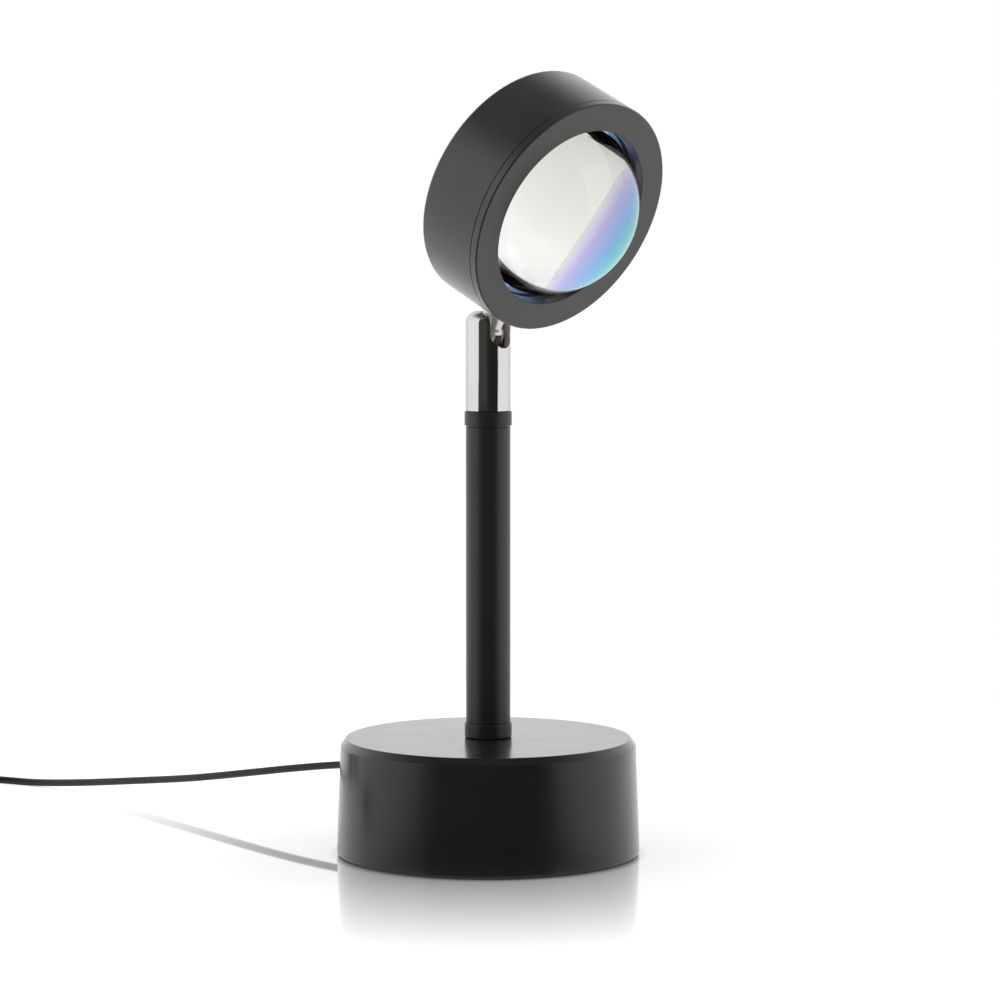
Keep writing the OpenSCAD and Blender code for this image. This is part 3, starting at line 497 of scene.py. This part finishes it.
class Nodes:
    """A node tree in a few short calls"""

    def __init__(self, tree):
        self.tree = tree

    def add(self, kind, **settings):
        """New node of a kind, with its settings."""
        made = self.tree.nodes.new(kind)
        for key, value in settings.items():
            setattr(made, key, value)
        return made

    def link(self, source, target):
        """Links an output socket to an input socket."""
        self.tree.links.new(source, target)

    def feed(self, socket, value):
        """Sets a socket to a plain number, or links it to another socket."""
        if isinstance(value, (int, float)):
            socket.default_value = value
        else:
            self.link(value, socket)

    def math(self, operation, *values):
        """One Math node over sockets and plain numbers."""
        made = self.add("ShaderNodeMath", operation=operation)
        for socket, value in zip(made.inputs, values):
            self.feed(socket, value)
        return made.outputs["Value"]

    def ranged(self, value, start, end, low, high, smooth=False):
        """Value from start to end mapped to low to high, held beyond both."""
        kind = "SMOOTHSTEP" if smooth else "LINEAR"
        made = self.add("ShaderNodeMapRange", interpolation_type=kind)
        for key, number in zip(
                ("Value", "From Min", "From Max", "To Min", "To Max"), (value, start, end, low, high)):
            self.feed(made.inputs[key], number)
        return made.outputs["Result"]

    def fade(self, value, span, levels=(0, 1)):
        """Value across span mapped to levels along an S curve, held beyond both."""
        return self.ranged(value, *span, *levels, smooth=True)

    def between(self, share, first, second):
        """Number that goes from first to second as share goes from 0 to 1."""
        made = self.add("ShaderNodeMix", data_type="FLOAT")
        self.feed(made.inputs[0], share)
        self.feed(made.inputs[2], first)
        self.feed(made.inputs[3], second)
        return made.outputs[0]

    def dot(self, vector, direction):
        """Dot product of a vector socket and a fixed direction."""
        made = self.add("ShaderNodeVectorMath", operation="DOT_PRODUCT")
        self.link(vector, made.inputs[0])
        made.inputs[1].default_value = direction
        return made.outputs["Value"]

    def glancing(self):
        """0 where a surface is seen square on, 1 at a glancing view."""
        made = self.add("ShaderNodeLayerWeight")
        made.inputs["Blend"].default_value = 0.5
        return made.outputs["Facing"]

    def emission(self, colour=(1, 1, 1), strength=1.0):
        """Plain glow of a colour, at a number or socket of strength."""
        made = self.add("ShaderNodeEmission")
        made.inputs["Color"].default_value = (*colour, 1)
        self.feed(made.inputs["Strength"], strength)
        return made.outputs["Emission"]

    def ramp(self, value, stops):
        """Colour ramp through stops (place, colour)."""
        made = self.add("ShaderNodeValToRGB")
        elements = made.color_ramp.elements
        elements[0].position, elements[1].position = stops[0][0], stops[-1][0]
        elements[0].color, elements[1].color = (*stops[0][1], 1), (*stops[-1][1], 1)
        for where, colour in stops[1:-1]:
            elements.new(where).color = (*colour, 1)
        self.link(value, made.inputs["Fac"])
        return made.outputs["Color"]

    def mixed(self, share, first, second):
        """Mix of two shaders, with share of the second."""
        made = self.add("ShaderNodeMixShader")
        for socket, value in zip(made.inputs, (share, first, second)):
            self.link(value, socket)
        return made.outputs["Shader"]


class Shader(Nodes):
    """A material with a Principled shader"""

    def __init__(self, name, colour=(0.5, 0.5, 0.5), roughness=0.5, metallic=0.0):
        self.material = bpy.data.materials.new(name)
        self.material.use_nodes = True
        super().__init__(self.material.node_tree)
        self.surface = self.tree.nodes["Principled BSDF"]
        self.set(**{"Base Color": (*colour, 1), "Roughness": roughness, "Metallic": metallic})
        self.place = self.add("ShaderNodeTexCoord").outputs["Object"]

    def set(self, **values):
        """Sets sockets of the Principled shader."""
        for key, value in values.items():
            self.surface.inputs[key].default_value = value

    def noise(self, size, detail=2.0):
        """Noise whose features are size metres across."""
        made = self.add("ShaderNodeTexNoise")
        made.inputs["Scale"].default_value = 1 / size
        made.inputs["Detail"].default_value = detail
        self.link(self.place, made.inputs["Vector"])
        return made.outputs["Fac"]

    def mottle(self, colour, size, amount):
        """Base colour that drifts by amount, darker and lighter, over patches of size metres."""
        darker = [c * (1 - amount) for c in colour]
        lighter = [min(1, c * (1 + amount)) for c in colour]
        low, high = NOISE_SPAN
        self.link(self.ramp(self.noise(size), [(low, darker), (high, lighter)]),
                  self.surface.inputs["Base Color"])

    def vary_roughness(self, size, low, high):
        """Roughness that drifts from low to high over patches of size metres."""
        self.link(self.ranged(self.noise(size, 1), *NOISE_SPAN, low, high),
                  self.surface.inputs["Roughness"])

    def bump(self, value, height):
        """Relief height metres deep where value goes from 0 to 1."""
        made = self.add("ShaderNodeBump")
        made.inputs["Distance"].default_value = height
        self.link(value, made.inputs["Height"])
        self.link(made.outputs["Normal"], self.surface.inputs["Normal"])


def moulded(name, colour, roughness, grain, depth, drift=0.12, **lacquer):
    """Moulded or powder-coated surface: a fine grain of a given depth, slow drift of colour,
    uneven sheen, and further socket values for a lacquer."""
    s = Shader(name, colour, roughness)
    s.set(**lacquer)
    s.mottle(colour, 18 * MM, drift)
    s.vary_roughness(12 * MM, roughness * 0.92, roughness * 1.1)
    s.bump(s.noise(grain), depth)
    return s.material


def plated(name, colour, roughness, size=0.002, depth=0.0, drift=0.05, edge=1.0):
    """Metal with an uneven polish, fine marks where depth is given, and darker at a glancing
    view where edge is less than 1."""
    s = Shader(name, colour, roughness, 1.0)
    s.set(**{"Specular Tint": (edge, edge, edge, 1)})
    s.mottle(colour, 4 * MM, drift)
    s.vary_roughness(size, roughness * 0.75, roughness * 1.3)
    if depth:
        s.bump(s.noise(size / 3, 3), depth)
    return s.material


def dull_plated(name, colour, low, high):
    """Plating where no polishing wheel reaches: part mirror, part haze, with its roughness from
    low to high."""
    s = Shader(name, colour, high, 0.6)
    s.mottle(colour, 4 * MM, 0.05)
    s.vary_roughness(3 * MM, low, high)
    return s.material


def rubbery(name, colour, roughness, grain=0.0004):
    """Soft sleeve or foam: dull, with a low sheen and a fine skin."""
    s = Shader(name, colour, roughness)
    s.mottle(colour, 10 * MM, 0.15)
    s.vary_roughness(3 * MM, roughness * 0.9, min(1, roughness * 1.1))
    s.bump(s.noise(grain), 0.02 * MM)
    s.set(**{"Sheen Weight": 0.08})
    return s.material


def clear_glass(name):
    """Polished optical glass"""
    s = Shader(name, (0.985, 0.995, 0.99), 0.0)
    s.set(**{"Transmission Weight": 1.0, "IOR": 1.5})
    return s.material


def dichroic(name):
    """Mirror coating whose colour runs from green-cyan seen square on, over blue, to violet and
    near white at a glancing view."""
    s = Shader(name, FILTER_TONES[0][1], 0.0, 1.0)
    s.link(s.ramp(s.glancing(), FILTER_TONES), s.surface.inputs["Base Color"])
    return s.material


# ---------------------------------------------------------------- operators


def camera_sides(studio):
    """Level directions to the right in the camera's view, and from the lamp to the camera."""
    c, s = math.cos(studio.azimuth), math.sin(studio.azimuth)
    return (c, s, 0), (s, -c, 0)


class LAMP_OT_studio(bpy.types.Operator):
    """Camera, floor, backdrop light, soft boxes and flag"""

    bl_idname = "lamp.studio"
    bl_label = "Studio"

    def execute(self, context):
        studio = context.scene.lamp_studio
        self.camera(context, studio)
        self.world(context, studio)
        self.floor(context, studio)
        self.boxes(context)
        self.flag(context, studio)
        context.scene.view_settings.view_transform = "Standard"
        return {"FINISHED"}

    def camera(self, context, studio):
        """Camera on a level circle round the pole, looking a little down."""
        data = bpy.data.cameras.new("camera")
        data.lens = studio.focal
        data.sensor_width = 36
        data.clip_start, data.clip_end = 0.05, 50
        camera = bpy.data.objects.new("camera", data)
        camera.location = (
            studio.distance * math.sin(studio.azimuth),
            -studio.distance * math.cos(studio.azimuth),
            studio.height,
        )
        camera.rotation_euler = (math.pi / 2 - studio.pitch, 0, studio.azimuth - studio.yaw)
        context.scene.collection.objects.link(camera)
        context.scene.camera = camera

    def world(self, context, studio):
        """White to the camera, and an even ambient light to matte surfaces. Gloss sees it
        bright behind the lamp up to a slanting edge, and at both sides, and dark overhead and
        above the camera. Glass sees it white up to a third of the way up, and dark above."""
        world = bpy.data.worlds.new("studio")
        world.use_nodes = True
        context.scene.world = world
        n = Nodes(world.node_tree)
        path = n.add("ShaderNodeLightPath").outputs
        direction = n.add("ShaderNodeTexCoord").outputs["Generated"]
        split = n.add("ShaderNodeSeparateXYZ")
        n.link(direction, split.inputs["Vector"])
        height = split.outputs["Z"]
        right, front = camera_sides(studio)
        slant = n.dot(direction, [-WALL_SLANT * c for c in front])
        wall = n.fade(n.math("SUBTRACT", height, slant), WALL_SPAN, WALL_LEVELS)
        sideways = n.math("ABSOLUTE", n.dot(direction, right))
        side = n.math("MULTIPLY", n.fade(sideways, SIDE_SPAN, SIDE_LEVELS),
                      n.fade(height, SIDE_TOP_SPAN, SIDE_TOP_LEVELS))
        level = n.between(path["Is Glossy Ray"], studio.ambient, n.math("MAXIMUM", wall, side))
        through = n.fade(height, GLASS_SPAN, GLASS_LEVELS)
        level = n.between(path["Is Transmission Ray"], level, through)
        level = n.between(path["Is Camera Ray"], level, 1.0)
        background = n.tree.nodes["Background"]
        background.inputs["Color"].default_value = (1, 1, 1, 1)
        n.link(level, background.inputs["Strength"])

    def floor(self, context, studio):
        """Wide round floor under the lamp."""
        verts, faces = revolve([(0, 0), (FLOOR_R, 0)], FLOOR_STEPS)
        mesh = bpy.data.meshes.new("floor")
        mesh.from_pydata(verts.tolist(), [], faces)
        if mesh.polygons[0].normal.z < 0:
            mesh.flip_normals()
        floor = bpy.data.objects.new("floor", mesh)
        context.scene.collection.objects.link(floor)
        mesh.materials.append(self.floor_finish(studio))

    def floor_finish(self, studio):
        """Pale near the lamp, plain white further out, as dark in gloss in front of the lamp as
        the studio is there, and cream through glass."""
        s = Shader("floor", (0.9, 0.9, 0.9), 0.6)
        s.set(**{"Specular IOR Level": 0.0})
        path = s.add("ShaderNodeLightPath").outputs
        length = s.add("ShaderNodeVectorMath", operation="LENGTH")
        s.link(s.place, length.inputs[0])
        distance = length.outputs["Value"]
        mirrored = s.math("MAXIMUM", path["Is Glossy Ray"], path["Is Transmission Ray"])
        seen = s.math("MAXIMUM", mirrored, path["Is Camera Ray"])
        near = self.near_floor(s, path, distance)
        far = s.mixed(s.math("MULTIPLY", seen, s.fade(distance, PLAIN_SPAN)), near, s.emission())
        dark = s.math("MULTIPLY", path["Is Glossy Ray"], self.front_share(s, distance, studio))
        around = s.mixed(dark, far, s.emission(strength=FRONT_LEVEL))
        reach = s.math("DIVIDE", distance, s.math("ADD", distance, CREAM_HALFWAY))
        cream = s.emission(CREAM, s.ranged(reach, *CREAM_SPAN, *CREAM_LEVELS))
        s.link(s.mixed(path["Is Transmission Ray"], around, cream),
               s.tree.nodes["Material Output"].inputs["Surface"])
        return s.material

    def near_floor(self, s, path, distance):
        """Pale floor that takes the lamp's soft shadow, with a painted shadow under the base and round
        its foot where its glow drops, and that mirrors the lamp near the base where the view is low."""
        lit = s.between(path["Is Glossy Ray"], path["Is Camera Ray"], GLOW_IN_GLOSS)
        # Painted shadow: the floor's glow drops under the base and in a thin ring round its foot, for
        # the camera and in gloss.
        glow = s.math("MULTIPLY", lit, s.ranged(distance, *CONTACT_SHADOW_SPAN, *CONTACT_SHADOW_GLOW))
        pale = s.add("ShaderNodeAddShader")
        s.link(s.surface.outputs["BSDF"], pale.inputs[0])
        s.link(s.emission(strength=glow), pale.inputs[1])
        gloss = s.add("ShaderNodeBsdfGlossy")
        gloss.inputs["Roughness"].default_value = MIRROR_ROUGHNESS
        mirror = s.math("MULTIPLY", s.fade(distance, MIRROR_SPAN, MIRROR_SHARES),
                        s.fade(s.glancing(), LOW_VIEW_SPAN))
        return s.mixed(mirror, pale.outputs["Shader"], gloss.outputs["BSDF"])

    def front_share(self, s, distance, studio):
        """1 in a wedge of the floor towards the camera, whose edges are blurred near the lamp,
        and 0 elsewhere and under the base."""
        towards = s.add("ShaderNodeVectorMath", operation="NORMALIZE")
        s.link(s.place, towards.inputs[0])
        forward = s.dot(towards.outputs["Vector"], camera_sides(studio)[1])
        blur = s.ranged(distance, *FRONT_BLUR_SPAN, *FRONT_BLURS)
        edge = (s.math("SUBTRACT", FRONT_EDGE, blur), s.math("ADD", FRONT_EDGE, blur))
        return s.math("MULTIPLY", s.fade(forward, edge), s.ranged(distance, *FRONT_START_SPAN, 0, 1))

    def boxes(self, context):
        """Soft boxes left, right and above, which light matte surfaces."""
        for name, place, size, power in SOFT_BOXES:
            data = bpy.data.lights.new(name, "AREA")
            data.shape = "DISK"
            data.size = size
            data.energy = power
            light = bpy.data.objects.new(name, data)
            light.location = place
            aim = np.array(BOX_AIM) - np.array(place)
            level = math.hypot(aim[0], aim[1])
            light.rotation_euler = (math.atan2(level, -aim[2]), 0, math.atan2(-aim[0], aim[1]))
            light.visible_camera = light.visible_transmission = light.visible_glossy = False
            context.scene.collection.objects.link(light)

    def flag(self, context, studio):
        """Dark cloth round the camera that only reflections see: point (i, j) is on an upright
        cylinder about the pole, at angle i across the camera's side and at height j."""
        spread = np.radians(np.linspace(-FLAG_HALF_ANGLE, FLAG_HALF_ANGLE, FLAG_STEPS + 1))
        a, z = np.meshgrid(spread + studio.azimuth, [0, FLAG_HEIGHT], indexing="ij")
        verts = np.stack([FLAG_R * np.sin(a), -FLAG_R * np.cos(a), z], -1).reshape(-1, 3)
        i = np.arange(FLAG_STEPS) * 2
        faces = np.column_stack([i, i + 2, i + 3, i + 1]).tolist()
        mesh = bpy.data.meshes.new("flag")
        mesh.from_pydata(verts.tolist(), [], faces)
        mesh.materials.append(self.flag_finish(studio))
        flag = bpy.data.objects.new("flag", mesh)
        context.scene.collection.objects.link(flag)
        flag.visible_camera = flag.visible_diffuse = flag.visible_transmission = False
        flag.visible_shadow = False

    def flag_finish(self, studio):
        """Faint glow of the dark cloth, browner on the camera's left."""
        s = Shader("flag", (0, 0, 0), 1.0)
        across = s.dot(s.place, camera_sides(studio)[0])
        glow = s.add("ShaderNodeEmission")
        s.link(s.ramp(s.ranged(across, -FLAG_REACH, FLAG_REACH, 0, 1), FLAG_TONES), glow.inputs["Color"])
        s.link(glow.outputs["Emission"], s.tree.nodes["Material Output"].inputs["Surface"])
        return s.material


class LAMP_OT_switch_and_plug(bpy.types.Operator):
    """Hand switch on the lead, and the USB plug"""

    bl_idname = "lamp.switch_and_plug"
    bl_label = "Switch and plug"

    def execute(self, context):
        finish = context.scene.lamp_finish
        case = moulded("switch_case", finish.lead_black, 0.5, 0.0005, 0.00003)
        for node, name, body in (
            ("switch_case_bottom", "case_low", "base"), ("switch_case_top", "case_high", "base"),
            ("switch_button", "button_cap", "button"), ("plug_grip", "grip", "base")):
            smooth_copy(node, name, body, case)
        repaint(moulded("switch_inner", (0.7, 0.7, 0.66), 0.3, 0.0006, 0.00001), "switch_block")
        repaint(plated("plug_nickel", (0.72, 0.73, 0.74), 0.18, 0.003), "plug_shell")
        repaint(moulded("plug_white", (0.85, 0.85, 0.85), 0.35, 0.0006, 0.00001), "plug_tongue")
        repaint(plated("contact_gold", (0.8, 0.55, 0.2), 0.2, 0.001), "plug_contacts")
        return {"FINISHED"}


class LAMP_OT_lead(bpy.types.Operator):
    """The free lead: its run from the base, the stored coil, and both ends of the switch"""

    bl_idname = "lamp.lead"
    bl_label = "Lead"

    def execute(self, context):
        shape, finish = context.scene.lamp_shape, context.scene.lamp_finish
        sleeve = rubbery("lead_sleeve", finish.lead_black, 0.42)
        angle = math.radians(COIL_ANGLE)
        way = np.array([-math.sin(angle), math.cos(angle), 0]) * LEAD_D
        turns = coil_route()
        start, end = turns[0] - way, turns[-1] + way
        run = smooth_route([
            [0, RELIEF_TIP, EXIT_Z], [0, RELIEF_TIP + LEAD_D, EXIT_Z], *RUN_ROUTE,
            (start - way).tolist(), start.tolist()])
        tail = smooth_route([
            end.tolist(), (end + way).tolist(), *TAIL_ROUTE, *self.straight(SWITCH_TOP, 1)])
        path = np.vstack([run, turns, tail]) * MM
        self.cord("usb_lead", path, shape, sleeve, "fitting",
                  ("usb_lead_run", "usb_lead_coil", "usb_lead_tail"),
                  ("case_low", "case_high", "switch_block", "switch_screws", "button_cap"))
        last = smooth_route([
            *self.straight(SWITCH_LOW, -1)[::-1], *END_ROUTE, *self.straight(PLUG_END, 1)]) * MM
        self.cord("usb_lead_plug_end", last, shape, sleeve, "plug", ("usb_lead_end",),
                  ("grip", "plug_shell", "plug_tongue", "plug_contacts"))
        return {"FINISHED"}

    def straight(self, end, side):
        """Three points that run along Y into end, from side 1 or -1 of it."""
        return [[end[0], end[1] + side * k * LEAD_D, end[2]] for k in (2, 1, 0)]

    def cord(self, name, path, shape, sleeve, far_end, stands_for, carried):
        """One stretch of the lead along a path, standing for its nodes. far_end and carried, the pieces
        that would hang on its far end, are not used."""
        verts, faces = tube(path, LEAD_D / 2 * MM, shape.lead_sides)
        lead = piece(name, verts, faces, "base", sleeve, replaces=stands_for)


class LAMP_OT_base(bpy.types.Operator):
    """Weighted base: turned shell, foot and what it holds"""

    bl_idname = "lamp.base"
    bl_label = "Base"

    def execute(self, context):
        shape, finish = context.scene.lamp_shape, context.scene.lamp_finish
        satin = moulded("base_satin", finish.base_black, 0.25, 0.0005, 0.0000008, **{
            "IOR": 1.33, "Coat Weight": 0.8, "Coat IOR": 1.35, "Coat Roughness": 0.16})
        outer = shape.base_radius / MM
        shoulder = outer - BASE_LEAN
        profile = filleted([
            (STEM_BORE_R, BASE_TOP, 0), (shoulder - CHAMFER_W, BASE_TOP, BASE_ROUND),
            (shoulder, BASE_TOP - CHAMFER_H, BASE_ROUND), (outer, BASE_FOOT, BASE_FOOT_ROUND),
            (outer - BASE_WALL, BASE_FOOT, 0), (CEILING_R, BASE_CEILING, BASE_INNER_ROUND),
            (BOSS_R, BASE_CEILING, 0), (BOSS_R, BOSS_FOOT, 0), (STEM_BORE_R, BOSS_FOOT, 0)])
        verts, faces = revolve(profile, shape.lathe_steps, closed=True)
        piece("base_shell", verts, faces, "base", satin, ("base_housing",))
        repaint(plated("plate_zinc", (0.5, 0.5, 0.51), 0.35, 0.003), "bottom_plate")
        repaint(plated("iron_casting", (0.12, 0.115, 0.11), 0.6, 0.002, 0.00005), "ballast_disc")
        repaint(rubbery("foot_foam", (0.03, 0.03, 0.03), 0.9, 0.0006), "foot_pad")
        repaint(rubbery("relief_sleeve", finish.lead_black, 0.5), "strain_relief")
        return {"FINISHED"}


class LAMP_OT_pole(bpy.types.Operator):
    """Pole between its two collars"""

    bl_idname = "lamp.pole"
    bl_label = "Pole"

    def execute(self, context):
        shape, finish = context.scene.lamp_shape, context.scene.lamp_finish
        paint = moulded("pole_paint", finish.pole_black, 0.36, 0.0005, 0.00001)
        for name, node, outline in (
            ("pole", "pole_tube", self.pole()),
            ("collar_low", "lower_collar", self.collar(BASE_TOP, 1)),
            ("collar_high", "upper_collar", self.collar(STEM_TOP, -1)),
        ):
            verts, faces = revolve(filleted(outline, hold=0.05), shape.lathe_steps // 2, closed=True)
            piece(name, verts, faces, "base", paint, (node,))
        return {"FINISHED"}

    def pole(self):
        """Corners of the pole's wall, from collar floor to collar floor, with a narrow groove
        at each collar's lip."""
        low, high = BASE_TOP + COLLAR_FLOOR, STEM_TOP - COLLAR_FLOOR
        foot = BASE_TOP + COLLAR_H - GROOVE_TUCK
        neck = STEM_TOP - COLLAR_H + GROOVE_TUCK
        slope = 2 * GROOVE_ROUND
        return [
            (POLE_R, low, 0), (POLE_R, foot, 0), (GROOVE_R, foot, 0), (GROOVE_R, foot + GROOVE_H, 0),
            (POLE_R, foot + GROOVE_H + slope, GROOVE_ROUND),
            (POLE_R, neck - GROOVE_H - slope, GROOVE_ROUND),
            (GROOVE_R, neck - GROOVE_H, 0), (GROOVE_R, neck, 0), (POLE_R, neck, 0), (POLE_R, high, 0),
            (POLE_BORE_R, high, 0), (POLE_BORE_R, low, 0)]

    def collar(self, end, way):
        """Corners of a collar whose floor lies on the pole's end, and which grows from it by
        way, 1 up or -1 down."""
        lip, floor = end + way * COLLAR_H, end + way * COLLAR_FLOOR
        return [
            (STEM_BORE_R, end, 0), (COLLAR_R, end, COLLAR_ROUND), (COLLAR_R, lip, COLLAR_LIP_ROUND),
            (COLLAR_LIP_R, lip, 0), (COLLAR_BORE_R, lip - way * COLLAR_LIP, 0),
            (COLLAR_BORE_R, floor, 0), (STEM_BORE_R, floor, 0)]


class LAMP_OT_knuckle(bpy.types.Operator):
    """Chrome socket and ball neck"""

    bl_idname = "lamp.knuckle"
    bl_label = "Knuckle"

    def execute(self, context):
        finish = context.scene.lamp_finish
        chrome = plated("knuckle_chrome", finish.chrome_tint, 0.05, 0.004, drift=0.012, edge=0.68)
        nickel = dull_plated("knuckle_nickel", (0.82, 0.79, 0.74), 0.14, 0.22)
        socket = smooth_copy("knuckle_socket", "socket", "swivel", chrome)
        self.line_bore(socket.data, nickel)
        smooth_copy("ball_neck", "ball_and_neck", "head", nickel)
        return {"FINISHED"}

    def line_bore(self, mesh, finish):
        """Gives the finish to every face that looks towards the socket's axis."""
        count = len(mesh.polygons)
        normal, centre = np.empty(count * 3), np.empty(count * 3)
        mesh.polygons.foreach_get("normal", normal)
        mesh.polygons.foreach_get("center", centre)
        outward = (normal.reshape(-1, 3)[:, :2] * centre.reshape(-1, 3)[:, :2]).sum(1)
        towards_axis = outward < -0.01 * MM
        mesh.materials.append(finish)
        mesh.polygons.foreach_set("material_index", towards_axis.astype(np.int32))
        mesh.update()


class LAMP_OT_drum(bpy.types.Operator):
    """Drum of the head: cup and front ring"""

    bl_idname = "lamp.drum"
    bl_label = "Drum"

    def execute(self, context):
        shape, finish = context.scene.lamp_shape, context.scene.lamp_finish
        matte = moulded("drum_charcoal", finish.head_charcoal, 0.33, 0.0004, 0.000004, **{
            "Coat Weight": 0.58, "Coat IOR": 1.4, "Coat Roughness": 0.17})
        seam_round = shape.seam_round / MM
        cup = filleted([
            (0, DRUM_DEPTH, 0), (DRUM_R, DRUM_DEPTH, DRUM_BACK_ROUND), (DRUM_R, SEAM_BACK, seam_round),
            (CUP_R, SEAM_BACK, 0), (CUP_R, CUP_FLOOR, CUP_FLOOR_ROUND), (0, CUP_FLOOR, 0)])
        verts, faces = revolve(cup, shape.lathe_steps)
        piece("drum_cup", verts, faces, "head", matte, ("head_housing",), DRUM)
        ring = filleted([
            (OPENING_R, LENS_RIM_FRONT, 0), (OPENING_R, 0, OPENING_ROUND), (DRUM_R, 0, RING_ROUND),
            (DRUM_R, SEAM_FRONT, seam_round), (SPIGOT_R, SEAM_FRONT, 0), (SPIGOT_R, SPIGOT_END, 0),
            (LENS_SEAT_R, SPIGOT_END, 0), (LENS_SEAT_R, LENS_RIM_FRONT, 0)])
        verts, faces = revolve(ring, shape.lathe_steps, closed=True)
        piece("front_ring", verts, faces, "head", matte, ("front_bezel",), DRUM)
        return {"FINISHED"}


class LAMP_OT_optics(bpy.types.Operator):
    """Domed lens and colour filter"""

    bl_idname = "lamp.optics"
    bl_label = "Optics"

    def execute(self, context):
        glass = clear_glass("lens_glass")
        verts, faces = revolve(self.lens(context.scene.lamp_shape), context.scene.lamp_shape.lathe_steps)
        piece("lens_dome", verts, faces, "head", glass, ("lens",), DRUM)
        repaint(dichroic("filter_coating"), "colour_filter")
        return {"FINISHED"}

    def lens(self, shape):
        """Outline of the lens: an arc of the dome's radius from its top, lens_proud in front of
        the front ring, to the rim's front face, then the rim and the flat back."""
        radius = shape.lens_radius / MM
        centre = radius - shape.lens_proud / MM
        flat = LENS_RIM_BACK - shape.lens_air / MM
        angle = np.linspace(0, math.acos((centre - LENS_RIM_FRONT) / radius), DOME_STEPS + 1)
        dome = np.column_stack([radius * np.sin(angle), centre - radius * np.cos(angle)])
        rim = filleted([
            (dome[-1, 0], LENS_RIM_FRONT, 0), (LENS_RIM_R, LENS_RIM_FRONT, LENS_RIM_ROUND),
            (LENS_RIM_R, flat, LENS_RIM_ROUND), (0, flat, 0)])
        return np.vstack([dome, rim[1:]])


class LAMP_OT_inner_parts(bpy.types.Operator):
    """Finishes of the parts inside the lamp"""

    bl_idname = "lamp.inner_parts"
    bl_label = "Inner parts"

    def execute(self, context):
        repaint(plated("zinc_plate", (0.6, 0.6, 0.56), 0.32, 0.002), "plate_screws", "stem_washer",
                "stem_nut", "threaded_tube", "swivel_bolt", "neck_washer", "neck_nut",
                "heat_sink_screws", "board_screws", "switch_screws")
        repaint(plated("spring_steel", (0.5, 0.5, 0.52), 0.25, 0.001), "seat_spring", "swivel_washer",
                "friction_seat")
        repaint(plated("bearing_brass", (0.7, 0.5, 0.22), 0.28, 0.002), "swivel_bush")
        repaint(plated("heat_sink_metal", (0.72, 0.73, 0.74), 0.4, 0.002), "heat_sink")
        repaint(moulded("board_mask", (0.8, 0.8, 0.78), 0.35, 0.0008, 0.00001, 0.04), "light_board")
        repaint(moulded("emitter_silicone", (0.85, 0.6, 0.08), 0.2, 0.0005, 0.000005, 0.08),
                "light_emitter")
        repaint(moulded("inner_black", (0.012, 0.012, 0.013), 0.55, 0.0008, 0.00002),
                "light_hood", "retaining_ring", "cable_tie")
        repaint(rubbery("saddle_rubber", (0.015, 0.015, 0.015), 0.7), "saddle_washer")
        repaint(rubbery("inner_sleeve", (0.3, 0.3, 0.3), 0.5), "pole_lead", "head_lead")
        return {"FINISHED"}


class LAMP_PT_panel(bpy.types.Panel):
    """Lists the lamp's steps in the sidebar"""

    bl_idname = "LAMP_PT_panel"
    bl_label = "Sunset Projection Lamp"
    bl_space_type = "VIEW_3D"
    bl_region_type = "UI"
    bl_category = "Lamp"

    def draw(self, context):
        layout = self.layout
        for group in (context.scene.lamp_shape, context.scene.lamp_finish, context.scene.lamp_studio):
            box = layout.box()
            for key in group.bl_rna.properties.keys():
                if key not in ("rna_type", "name"):
                    box.prop(group, key)
        for step in STEPS:
            layout.operator(step.bl_idname)


STEPS = (
    LAMP_OT_studio, LAMP_OT_switch_and_plug, LAMP_OT_lead, LAMP_OT_base, LAMP_OT_pole,
    LAMP_OT_knuckle, LAMP_OT_drum, LAMP_OT_optics, LAMP_OT_inner_parts,
)
CLASSES = (LampShape, LampFinish, LampStudio, *STEPS, LAMP_PT_panel)


def register():
    """Registers the classes and hangs their properties on the scene."""
    for cls in CLASSES:
        bpy.utils.register_class(cls)
    bpy.types.Scene.lamp_shape = PointerProperty(type=LampShape)
    bpy.types.Scene.lamp_finish = PointerProperty(type=LampFinish)
    bpy.types.Scene.lamp_studio = PointerProperty(type=LampStudio)


def unregister():
    """Takes the properties and the classes away again."""
    del bpy.types.Scene.lamp_shape, bpy.types.Scene.lamp_finish, bpy.types.Scene.lamp_studio
    for cls in reversed(CLASSES):
        bpy.utils.unregister_class(cls)


def main():
    """Builds the lamp and its studio."""
    register()
    bpy.ops.lamp.studio()
    bpy.ops.lamp.switch_and_plug()
    bpy.ops.lamp.lead()
    bpy.ops.lamp.base()
    bpy.ops.lamp.pole()
    bpy.ops.lamp.knuckle()
    bpy.ops.lamp.drum()
    bpy.ops.lamp.optics()
    bpy.ops.lamp.inner_parts()


if __name__ == "__main__":
    main()
